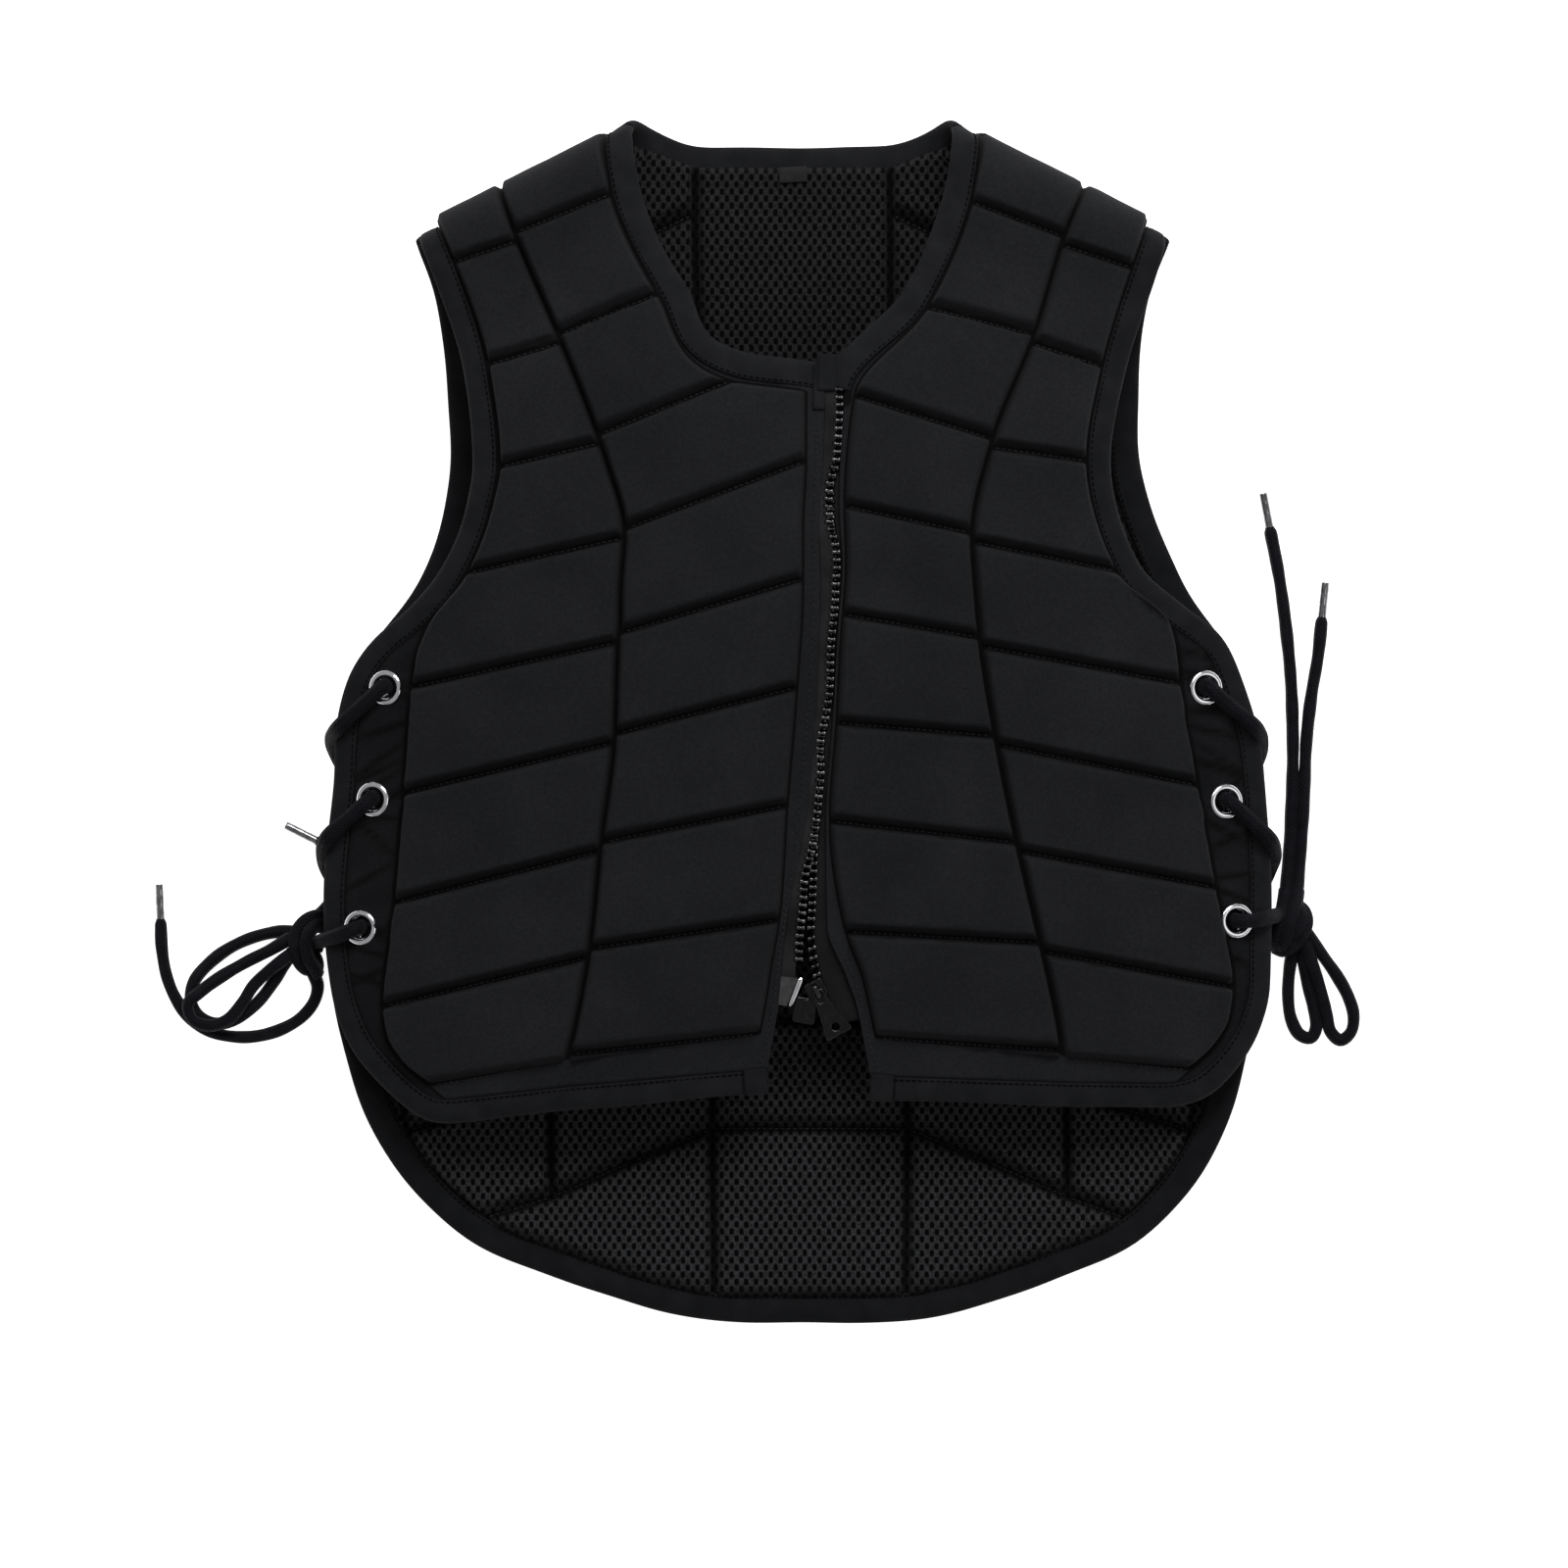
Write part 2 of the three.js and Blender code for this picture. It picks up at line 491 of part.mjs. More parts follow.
// Quilted panel: two faces either side of the middle surface, joined round the rim
function quiltedPanel(columns, pads, rows, middle, facing, joinedPads) {
  const grid = rows.map(({ row, full, turns }) =>
    stations(columns, pads, row).map((station) => {
      const joined = joinedPads.some((j) => j.pad === station.pad && Math.abs(j.row - row) < 0.01);
      const neckEdge = row === 0 && station.neck;
      const fullness = neckEdge ? 0 : station.full * (joined ? 1 : full);
      const half = blend(SEAM_HALF, PAD_HALF, fullness);
      const [x, y] = station.at;
      const centre = middle(x, y);
      const normal = outward(middle, x, y, facing);
      return { centre, normal, half, turns };
    }),
  );
  const across = grid[0].length;
  const points = [];
  for (const side of [1, -1]) {
    for (const { centre, normal, half } of grid.flat()) {
      points.push(centre.clone().addScaledVector(normal, side * half));
    }
  }
  const face = grid.length * across;
  const triangles = [];
  for (let i = 0; i < grid.length - 1; i += 1) {
    for (let j = 0; j < across - 1; j += 1) {
      const a = i * across + j;
      const b = a + 1;
      const c = a + across;
      const d = c + 1;
      triangles.push([a, b, d], [a, d, c], [face + a, face + d, face + b], [face + a, face + c, face + d]);
    }
  }
  const rim = [];
  for (let j = 0; j < across; j += 1) rim.push(j);
  for (let i = 1; i < grid.length; i += 1) rim.push(i * across + across - 1);
  for (let j = across - 2; j >= 0; j -= 1) rim.push((grid.length - 1) * across + j);
  for (let i = grid.length - 2; i >= 1; i -= 1) rim.push(i * across);
  rim.forEach((a, k) => {
    const b = rim[(k + 1) % rim.length];
    triangles.push([b, a, face + a], [b, face + a, face + b]);
  });
  return { geometry: geometryFrom(points, triangles), grid };
}

function columnLine(table, column) {
  return (row) => lookUp(table, 'row', row, column);
}

function frontPanel(table) {
  const columns = ['edge', 'outer', 'seam', 'inner', 'zip'].map((c) => columnLine(table, c));
  const pads = [null, 'shoulder', 'shoulder', null];
  return quiltedPanel(columns, pads, rowLines(table, 'seam', true), frontMiddle, 1, []);
}

function backPanel() {
  const names = ['edge', 'outer', 'side', 'strap', 'spine'];
  const left = names.map((c) => columnLine(BACK, c));
  const right = names.map((c) => (row) => {
    const [x, y] = lookUp(BACK, 'row', row, c);
    const middle = lookUp(BACK_MIDDLE, 'row', row, BACK_EDGES.includes(c) ? 'edges' : 'seams');
    return [2 * middle - x, y];
  });
  const columns = [...left, ...right.reverse()];
  const pads = [null, 'shoulder', 'shoulder', 'neck', 'neck', 'neck', 'shoulder', 'shoulder', null];
  const joined = [{ pad: 4, row: 1 }];
  return quiltedPanel(columns, pads, rowLines(BACK, 'spine', false), backMiddle, -1, joined);
}

const panels = { frontLeft: frontPanel(FRONT_LEFT), frontRight: frontPanel(FRONT_RIGHT), back: backPanel() };

// Edge paths: the rim stations of a panel with their neighbours inside it
function sidePath(panel, last) {
  return panel.grid.filter((line) => line[0].turns).map((line) => {
    const rim = last ? line[line.length - 1] : line[0];
    const next = last ? line[line.length - 2] : line[1];
    return { ...rim, inside: next.centre };
  });
}

function endPath(panel, last) {
  const line = last ? panel.grid[panel.grid.length - 1] : panel.grid[0];
  const next = last ? panel.grid[panel.grid.length - 2] : panel.grid[1];
  return line.map((rim, j) => ({ ...rim, inside: next[j].centre }));
}

function sideways(path, i, k) {
  const tangent = path[k].centre.clone().sub(path[i].centre).normalize();
  const normal = path[i].normal.clone().add(path[k].normal);
  return tangent.cross(normal).normalize();
}

// Strip of cloth along an edge path: from and to are distances beyond the edge, low and high along the normal
function edgeStrip(path, span, levels, squareEnds) {
  const turn = sideways(path, 0, 1).dot(path[0].inside.clone().sub(path[0].centre)) > 0 ? -1 : 1;
  const points = [];
  path.forEach((rim, i) => {
    const before = i > 0 ? sideways(path, i - 1, i) : sideways(path, 0, 1);
    const after = i < path.length - 1 ? sideways(path, i, i + 1) : before;
    const out = before.clone().add(after).divideScalar(1 + before.dot(after)).multiplyScalar(turn);
    for (const { index, across } of squareEnds) {
      if (index === i) out[across] = 0;
      if (index === i) out.normalize();
    }
    const { from, to } = span(i);
    const { low, high } = levels;
    for (const [reach, level] of [[from, high], [to, high], [to, low], [from, low]]) {
      points.push(rim.centre.clone().addScaledVector(out, reach).addScaledVector(rim.normal, level));
    }
  });
  const triangles = [];
  for (let i = 0; i < path.length - 1; i += 1) {
    for (let k = 0; k < 4; k += 1) {
      const a = i * 4 + k;
      const b = i * 4 + ((k + 1) % 4);
      triangles.push([a, b, b + 4], [a, b + 4, a + 4]);
    }
  }
  const end = (path.length - 1) * 4;
  triangles.push([0, 2, 1], [0, 3, 2], [end, end + 1, end + 2], [end, end + 2, end + 3]);
  return geometryFrom(points, triangles);
}

function bindingStrip(path, gap, width, squareEnds) {
  const span = () => ({ from: gap, to: gap + width });
  return edgeStrip(path, span, { low: -BINDING_HALF, high: BINDING_HALF }, squareEnds);
}

function frontBinding(panel) {
  const path = [...sidePath(panel, false), ...endPath(panel, true).slice(1)];
  return bindingStrip(path, FIT_GAP, FRONT_BINDING_WIDTH, [{ index: 0, across: 'z' }]);
}

function backBinding(panel) {
  const down = sidePath(panel, false);
  const up = sidePath(panel, true).reverse();
  const path = [...down, ...endPath(panel, true).slice(1, -1), ...up];
  const ends = [{ index: 0, across: 'z' }, { index: path.length - 1, across: 'z' }];
  return bindingStrip(path, BACK_GAP, BACK_BINDING_WIDTH, ends);
}

// Neck binding: up the left neck edge, round the back of the neck, down the right neck edge
function neckBinding() {
  const turnsTo = (table, row) => rowLines(table, 'seam', true).filter((r) => r.turns && r.row <= row).length;
  const leftTurns = turnsTo(FRONT_LEFT, NECK_CORNER_ROW.left);
  const rightTurns = turnsTo(FRONT_RIGHT, NECK_CORNER_ROW.right);
  const left = sidePath(panels.frontLeft, true).slice(0, leftTurns).reverse();
  const right = sidePath(panels.frontRight, true).slice(0, rightTurns);
  const top = endPath(panels.back, false);
  const back = top.filter((rim) => rim.half === SEAM_HALF && Math.abs(rim.centre.x) < NECK_HALF_WIDTH);
  const path = [...left, ...back, ...right];
  const ends = [{ index: 0, across: 'x' }, { index: path.length - 1, across: 'x' }];
  return bindingStrip(path, NECK_GAP, NECK_BINDING_WIDTH, ends);
}

// Zip tapes, rows of teeth and insert pin along the centre edges
function zipPath(table, rows, tab) {
  const wanted = table.map((e) => e.row).filter((row) => row > rows.top && row < rows.foot);
  const path = [rows.top, ...wanted, rows.foot].map((row) => {
    const [x, y] = lookUp(table, 'row', row, 'zip');
    const [insideX, insideY] = lookUp(table, 'row', row, 'inner');
    const normal = outward(frontMiddle, x, y, 1);
    return { row, centre: frontMiddle(x, y), normal, inside: frontMiddle(insideX, insideY) };
  });
  if (tab > 0) {
    const first = path[0];
    const lifted = (p) => p.clone().add(new THREE.Vector3(0, tab, 0));
    path.unshift({ ...first, centre: lifted(first.centre), inside: lifted(first.inside) });
  }
  return path;
}

function zipStrip(table, side, rows, tab, level, half, fromReach, width) {
  const path = zipPath(table, rows, tab);
  const span = (i) => {
    const reach = lookUp(ZIP_REACH, 'row', path[i].row, side);
    const from = fromReach === null ? reach + FIT_GAP : fromReach;
    return { from, to: width === null ? reach : from + width };
  };
  return edgeStrip(path, span, { low: level - half, high: level + half }, []);
}

// A local frame on the front, turned in plan, for the zip's hard pieces
function frontFrame(x, y, turnDeg, level) {
  const normal = outward(frontMiddle, x, y, 1);
  const turn = THREE.MathUtils.degToRad(turnDeg);
  const down = new THREE.Vector3(Math.sin(turn), -Math.cos(turn), 0);
  down.addScaledVector(normal, -down.dot(normal)).normalize();
  const across = new THREE.Vector3().crossVectors(down, normal);
  const origin = frontMiddle(x, y).addScaledVector(normal, level);
  return new THREE.Matrix4().makeBasis(down, across.negate(), normal).setPosition(origin);
}

function plate(outline, low, high, holes) {
  const shape = new THREE.Shape(outline.map(([x, y]) => new THREE.Vector2(x, y)));
  for (const hole of holes) shape.holes.push(hole);
  const depth = high - low;
  const geometry = new THREE.ExtrudeGeometry(shape, { depth, bevelEnabled: false, curveSegments: 5 });
  geometry.translate(0, 0, low);
  return geometry;
}

function indexed(geometry) {
  const count = geometry.attributes.position.count;
  if (!geometry.index) geometry.setIndex([...Array(count).keys()]);
  return geometry;
}

// Slider: two shield plates on a post, with a bridge for the pull
function sliderBody() {
  const half = SLIDER.length / 2;
  const shield = [
    [-half, -SLIDER.width / 2],
    [half * SLIDER.waist, -SLIDER.width / 2],
    [half, -SLIDER.nose / 2],
    [half, SLIDER.nose / 2],
    [half * SLIDER.waist, SLIDER.width / 2],
    [-half, SLIDER.width / 2],
  ];
  const inner = SLIDER_PLATE.throat / 2;
  const top = toSolid(indexed(plate(shield, inner, inner + SLIDER_PLATE.thickness, [])));
  const foot = toSolid(indexed(plate(shield, -inner - SLIDER_PLATE.thickness, -inner, [])));
  const post = [[-half, -SLIDER_PLATE.post / 2], [0, 0], [-half, SLIDER_PLATE.post / 2]];
  const base = inner + SLIDER_PLATE.thickness / 2;
  const wedge = toSolid(indexed(plate(post, -base, base, [])));
  const roof = inner + SLIDER_PLATE.thickness + BRIDGE.height;
  const under = inner + SLIDER_PLATE.thickness + BRIDGE.clear;
  const arch = [
    [-BRIDGE.length / 2, base],
    [-BRIDGE.length / 2, under],
    [-BRIDGE.window / 2, roof],
    [BRIDGE.window / 2, roof],
    [BRIDGE.length / 2, under],
    [BRIDGE.length / 2, base],
    [BRIDGE.window / 2, base],
    [BRIDGE.window / 2, under],
    [-BRIDGE.window / 2, under],
    [-BRIDGE.window / 2, base],
  ];
  const bow = plate(arch, -BRIDGE.width / 2, BRIDGE.width / 2, []);
  bow.rotateX(Math.PI / 2);
  const solid = top.add(foot).add(wedge).add(toSolid(indexed(bow)));
  return toGeometry(solid);
}

// Pull: flared plate whose end bar turns under the bridge
function pullBody() {
  const bar = PULL.barRadius;
  const outline = [
    [-bar, -PULL.neck / 2],
    [PULL.windowEnd, -PULL.neck / 2],
    [PULL.length, -PULL.end / 2],
    [PULL.length, PULL.end / 2],
    [PULL.windowEnd, PULL.neck / 2],
    [-bar, PULL.neck / 2],
  ];
  const window = new THREE.Path([
    new THREE.Vector2(bar, -PULL.armGap / 2),
    new THREE.Vector2(bar, PULL.armGap / 2),
    new THREE.Vector2(PULL.windowEnd, PULL.armGap / 2),
    new THREE.Vector2(PULL.windowEnd, -PULL.armGap / 2),
  ]);
  const hole = new THREE.Path();
  hole.absarc(PULL.length - PULL_HOLE.fromEnd, 0, PULL_HOLE.radius, 0, Math.PI * 2, true);
  return plate(outline, -PULL.half, PULL.half, [window, hole]);
}

// Eyelet ring and the clearance cut for it, as turned profiles
function turned(profile, sides) {
  return new THREE.LatheGeometry(profile.map(([radius, z]) => new THREE.Vector2(radius, z)), sides);
}

function eyeletRing(sides) {
  const deep = SEAM_HALF + EYELET.seat;
  const high = deep + EYELET.thickness;
  const { hole, barrel, flange } = EYELET;
  const ring = [[hole, -high], [flange, -deep], [barrel, -deep], [barrel, deep], [flange, deep], [hole, high]];
  return turned([...ring, ring[0]], sides);
}

function eyeletCut() {
  const high = SEAM_HALF + EYELET.seat + EYELET.thickness;
  const barrel = EYELET.barrel + EYELET.clearance;
  return turned([[0, -high], [barrel, -high], [barrel, high], [0, high]], EYELET_SIDES.cut);
}

function eyeletFrame(entry) {
  const middle = entry.panel === 'back' ? backMiddle : frontMiddle;
  const normal = outward(middle, entry.x, entry.y, 1);
  const turn = new THREE.Quaternion().setFromUnitVectors(new THREE.Vector3(0, 1, 0), normal);
  return new THREE.Matrix4().compose(middle(entry.x, entry.y), turn, new THREE.Vector3(1, 1, 1));
}

const solids = {};
for (const [key, panel] of Object.entries(panels)) solids[key] = toSolid(panel.geometry);
for (const entry of EYELETS) {
  const cutter = eyeletCut();
  cutter.applyMatrix4(eyeletFrame(entry));
  solids[entry.panel] = solids[entry.panel].subtract(toSolid(cutter));
}
addMesh('front_left_panel', toGeometry(solids.frontLeft), CLOTH);
addMesh('front_right_panel', toGeometry(solids.frontRight), CLOTH);
addMesh('back_panel', toGeometry(solids.back), CLOTH);

addMesh('front_left_binding', frontBinding(panels.frontLeft), CLOTH);
addMesh('front_right_binding', frontBinding(panels.frontRight), CLOTH);
addMesh('back_binding', backBinding(panels.back), CLOTH);
addMesh('neck_binding', neckBinding(), CLOTH);

for (const entry of EYELETS) {
  const ring = eyeletRing(entry.panel === 'back' ? EYELET_SIDES.back : EYELET_SIDES.front);
  ring.applyMatrix4(eyeletFrame(entry));
  addMesh(entry.name, toGeometry(toSolid(ring)), SILVER);
}

addMesh('zip_tape_left', zipStrip(FRONT_LEFT, 'left', LEFT_TAPE_ROWS, TAPE_TAB, LEFT_TAPE_LEVEL, TAPE_HALF,
  FIT_GAP, null), TAPE);
addMesh('zip_tape_right', zipStrip(FRONT_RIGHT, 'right', RIGHT_TAPE_ROWS, 0, RIGHT_TAPE_LEVEL, TAPE_HALF,
  -TAPE_TUCK, null), TAPE);
addMesh('zip_teeth_left', zipStrip(FRONT_LEFT, 'left', LEFT_TEETH_ROWS, 0, LEFT_TAPE_LEVEL, TEETH_HALF,
  null, TEETH_WIDTH), TEETH);
addMesh('zip_teeth_right', zipStrip(FRONT_RIGHT, 'right', RIGHT_TEETH_ROWS, 0, RIGHT_TAPE_LEVEL, TEETH_HALF,
  null, TEETH_WIDTH), TEETH);
addMesh('zip_pin', zipStrip(FRONT_LEFT, 'left', PIN_ROWS, 0, LEFT_TAPE_LEVEL, PIN_HALF,
  null, PIN_WIDTH), BLACK_METAL);

const sliderFrame = frontFrame(SLIDER.x, SLIDER.y, SLIDER.turnDeg, RIGHT_TAPE_LEVEL);
const slider = sliderBody();
slider.applyMatrix4(sliderFrame);
addMesh('zip_slider', slider, BLACK_METAL);

const hingeHeight = SLIDER_PLATE.throat / 2 + SLIDER_PLATE.thickness + BRIDGE.clear / 2;
const pull = pullBody();
pull.translate(0, 0, hingeHeight);
pull.applyMatrix4(sliderFrame);
addMesh('zip_pull', pull, BLACK_METAL);

const boxHalf = [ZIP_BOX.length / 2, ZIP_BOX.width / 2];
const box = plate([[-boxHalf[0], -boxHalf[1]], [boxHalf[0], -boxHalf[1]], boxHalf, [-boxHalf[0], boxHalf[1]]],
  -ZIP_BOX.half, ZIP_BOX.half, []);
box.applyMatrix4(frontFrame(ZIP_BOX.x, ZIP_BOX.y, ZIP_BOX.turnDeg, RIGHT_TAPE_LEVEL));
addMesh('zip_box', box, BLACK_METAL);

// Tag hanging on the lining just below the neck binding
const hang = new THREE.Vector3(0, LABEL.foot.y - LABEL.top.y, LABEL.foot.z - LABEL.top.z);
const tag = plate([[0, -LABEL.width / 2], [hang.length(), -LABEL.width / 2], [hang.length(), LABEL.width / 2],
  [0, LABEL.width / 2]], -LABEL.half, LABEL.half, []);
const tagDown = hang.clone().normalize();
const tagAcross = new THREE.Vector3(1, 0, 0);
const tagFace = new THREE.Vector3().crossVectors(tagDown, tagAcross);
tag.applyMatrix4(new THREE.Matrix4().makeBasis(tagDown, tagAcross, tagFace)
  .setPosition(LABEL.x, LABEL.top.y, LABEL.top.z));
addMesh('neck_label', tag, TAPE);

// Cord of round section swept along a smooth route
function cord(points, steps) {
  const section = new THREE.Shape();
  for (let k = 0; k < LACE_SIDES; k += 1) {
    const angle = (2 * Math.PI * k) / LACE_SIDES;
    section[k === 0 ? 'moveTo' : 'lineTo'](LACE_RADIUS * Math.cos(angle), LACE_RADIUS * Math.sin(angle));
  }
  section.closePath();
  const extrudePath = new THREE.CatmullRomCurve3(points, false, 'centripetal');
  return new THREE.ExtrudeGeometry(section, { steps, extrudePath, bevelEnabled: false });
}

function along(from, to, radius, length, sides) {
  const rod = turned([[0, 0], [radius, 0], [radius, length], [0, length]], sides);
  const direction = to.clone().sub(from).normalize();
  const turn = new THREE.Quaternion().setFromUnitVectors(new THREE.Vector3(0, 1, 0), direction);
  return rod.applyMatrix4(new THREE.Matrix4().compose(from, turn, new THREE.Vector3(1, 1, 1)));
}

for (const { name, route, steps, aglet } of FREE_LACES) {
  const points = route.map(({ x, y, z }) => new THREE.Vector3(x, y, z));
  addMesh(name, cord(points, steps), LACE);
  if (aglet) {
    const last = points[points.length - 1];
    const heading = last.clone().sub(points[points.length - 2]).setZ(0).normalize();
    const from = last.clone().addScaledVector(heading, FIT_GAP);
    addMesh(aglet, along(from, from.clone().add(heading), AGLET.radius, AGLET.length, AGLET.sides), SILVER);
  }
}

for (const { name, x, y, z, radius, half } of KNOTS) {
  const knot = turned(KNOT_PROFILE.map((p) => [p.radius * radius, p.along * half]), KNOT_SIDES);
  knot.translate(x, y, z);
  addMesh(name, toGeometry(toSolid(knot)), LACE);
}

// Lacing of one side: up through each pair of eyelets, over the flap, round both edges, under the back
function edgeX(table, side, y) {
  const { top, foot } = LACING_FLAP_ROWS;
  const flap = table.filter((entry) => entry.row >= top && entry.row <= foot);
  const rim = flap.map((entry) => ({ down: -entry.edge[1], x: entry.edge[0] }));
  return lookUp(rim, 'down', -y, 'x') + side * (FIT_GAP + FRONT_BINDING_WIDTH);
}

function lacing(name, side, table, knot) {
  const points = [];
  const holes = (kind) => EYELETS.filter((e) => e.name.startsWith(`eyelet_${kind}_${name}`));
  const fronts = holes('front');
  const backs = holes('back');
  const through = (entry, middle, below, above) => {
    const normal = outward(middle, entry.x, entry.y, 1);
    points.push(middle(entry.x, entry.y).addScaledVector(normal, -below));
    points.push(middle(entry.x, entry.y).addScaledVector(normal, above));
  };
  fronts.forEach((front, i) => {
    through(backs[i], backMiddle, LACING_REACH.backBelow, LACING_REACH.backAbove);
    through(front, frontMiddle, LACING_REACH.below, LACING_REACH.above);
    if (i === fronts.length - 1) return;
    for (const { place, inX, downY, rise } of LACING_TURN) {
      const y = front.y - downY;
      const rim = edgeX(table, side, y);
      const x = place === 'flap' ? front.x + side * inX : rim - side * inX;
      const top = frontMiddle(x, y).z + BINDING_HALF + LACE_RADIUS + LACING.clear + rise;
      const z = { flap: top, edge: top, around: LACING.aroundZ, under: LACING.underBackZ }[place];
      points.push(new THREE.Vector3(x, y, z));
    }
  });
  const last = fronts[fronts.length - 1];
  const rim = edgeX(table, side, knot.y);
  const lift = BINDING_HALF + LACE_RADIUS + LACING.clear;
  const { acrossX, acrossY, rimY } = LACING_TO_KNOT;
  const crossing = blend(last.x, rim, acrossX);
  const overFlap = frontMiddle(crossing, last.y).z + lift;
  const overRim = frontMiddle(rim, knot.y).z + lift;
  points.push(new THREE.Vector3(crossing, blend(last.y, knot.y, acrossY), overFlap));
  points.push(new THREE.Vector3(rim - side, blend(last.y, knot.y, rimY), overRim));
  points.push(new THREE.Vector3(knot.x, knot.y, knot.z + knot.radius + 2 * LACE_RADIUS));
  points.push(new THREE.Vector3(knot.x, knot.y, knot.z + knot.radius + FIT_GAP));
  addMesh(`lacing_${name}`, cord(points, LACING.steps), LACE);
}
lacing('left', -1, FRONT_LEFT, KNOTS[0]);
lacing('right', 1, FRONT_RIGHT, KNOTS[1]);

export default group;
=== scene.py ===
import math
import bpy
import numpy as np
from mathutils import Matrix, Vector


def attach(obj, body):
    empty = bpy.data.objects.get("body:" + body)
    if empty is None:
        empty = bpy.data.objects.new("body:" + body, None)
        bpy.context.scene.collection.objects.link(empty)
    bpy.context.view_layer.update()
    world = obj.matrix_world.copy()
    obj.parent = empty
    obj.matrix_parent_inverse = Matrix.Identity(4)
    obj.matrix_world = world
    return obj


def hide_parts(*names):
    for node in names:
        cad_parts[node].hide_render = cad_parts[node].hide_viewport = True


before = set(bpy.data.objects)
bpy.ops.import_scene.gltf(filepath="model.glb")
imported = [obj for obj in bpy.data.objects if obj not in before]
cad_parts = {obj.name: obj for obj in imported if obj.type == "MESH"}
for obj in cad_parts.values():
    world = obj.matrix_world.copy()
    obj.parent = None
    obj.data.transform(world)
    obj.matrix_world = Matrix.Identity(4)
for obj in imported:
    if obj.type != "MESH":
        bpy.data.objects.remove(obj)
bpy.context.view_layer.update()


# View: a flat-lay picture taken from straight above with a long lens, on a white floor,
# lit by a broad soft light from the head end and white light from all round.
PICTURE_WIDTH = 0.8
PICTURE_CENTRE = (-0.0080, -0.0304)
PICTURE_LEVEL = 0.040
LENS_HEIGHT = 6.0
ROOM_LIGHT = 0.34
FLOOR_REACH, FLOOR_LEVEL = 30, -0.0003

overhead = bpy.data.cameras.new("overhead")
overhead.sensor_width = 36
overhead.lens = overhead.sensor_width * LENS_HEIGHT / PICTURE_WIDTH
overhead.clip_end = 60
camera = bpy.data.objects.new("overhead", overhead)
camera.location = (*PICTURE_CENTRE, PICTURE_LEVEL + LENS_HEIGHT)
bpy.context.scene.collection.objects.link(camera)
bpy.context.scene.camera = camera
bpy.context.scene.view_settings.view_transform = "Standard"


def soft_light(name, place, size, watts):
    """A round soft light that shines on the middle of the vest."""
    lamp = bpy.data.lights.new(name, "AREA")
    lamp.shape = "DISK"
    lamp.size = size
    lamp.energy = watts
    light = bpy.data.objects.new(name, lamp)
    light.location = place
    light.rotation_mode = "QUATERNION"
    light.rotation_quaternion = (-Vector(place)).to_track_quat("-Z", "Y")
    light.visible_camera = False
    bpy.context.scene.collection.objects.link(light)


soft_light("head_light", place=(0.4, 1.5, 1.8), size=1.1, watts=33)
soft_light("glint_light", place=(-0.45, 1.1, 2.0), size=0.3, watts=5)
soft_light("fill_light", place=(1.6, -0.6, 2.2), size=1.8, watts=7)

room = bpy.data.worlds.new("white_room")
room.use_nodes = True
room.node_tree.nodes["Background"].inputs["Color"].default_value = (1, 1, 1, 1)
room.node_tree.nodes["Background"].inputs["Strength"].default_value = ROOM_LIGHT
bpy.context.scene.world = room


class Finish:
    """A material in the making: its shader, and the nodes that give it tone and relief."""

    def __init__(self, name, roughness, **sockets):
        """The sockets named here are constant all over the surface."""
        self.look = bpy.data.materials.new(name)
        self.look.use_nodes = True
        self.tree = self.look.node_tree
        self.shader = self.tree.nodes["Principled BSDF"]
        self.shader.inputs["Roughness"].default_value = roughness
        for socket, value in sockets.items():
            self.shader.inputs[socket.replace("_", " ")].default_value = value
        places = self.node("TexCoord").outputs
        self.place, self.flat = places["Object"], places["UV"]

    def node(self, kind, sockets=None, **settings):
        """A shader node; each socket takes a value, or the output of another node."""
        made = self.tree.nodes.new("ShaderNode" + kind)
        for key, value in settings.items():
            setattr(made, key, value)
        for key, value in (sockets or {}).items():
            if isinstance(value, bpy.types.NodeSocket):
                self.tree.links.new(value, made.inputs[key])
            else:
                made.inputs[key].default_value = value
        return made

    def number(self, operation, *values):
        return self.node("Math", dict(enumerate(values)), operation=operation).outputs[0]

    def colour(self, operation, *values):
        return self.node("VectorMath", dict(enumerate(values)), operation=operation).outputs["Vector"]

    def noise(self, scale, detail):
        return self.node("TexNoise", {"Vector": self.place, "Scale": scale, "Detail": detail}).outputs["Fac"]

    def ranged(self, value, span=(0, 1), onto=(0, 1), **settings):
        """A value that runs over one span, spread onto another."""
        ends = {"From Min": span[0], "From Max": span[1], "To Min": onto[0], "To Max": onto[1]}
        return self.node("MapRange", {"Value": value, **ends}, **settings).outputs["Result"]

    def patches(self, size, low, high, detail=3.0):
        """Uneven tone from low to high in patches of about this size, in metres."""
        ramp = self.node("ValToRGB", {"Fac": self.noise(1 / size, detail)})
        for stop, at, tone in zip(ramp.color_ramp.elements, (0.3, 0.7), (low, high)):
            stop.position = at
            stop.color = (*tone, 1)
        return ramp.outputs["Color"]

    def drive(self, socket, value):
        self.tree.links.new(value, self.shader.inputs[socket])

    def relief(self, height, strength, depth):
        bump = self.node("Bump", {"Height": height, "Strength": strength, "Distance": depth})
        self.drive("Normal", bump.outputs["Normal"])


def grey(tone, blue=1.0):
    return tone, tone, tone * blue


def oblong(half_long, half_wide):
    """Corners of a rectangle about its middle."""
    return [(x * half_long, y * half_wide) for x, y in ((-1, -1), (1, -1), (1, 1), (-1, 1))]


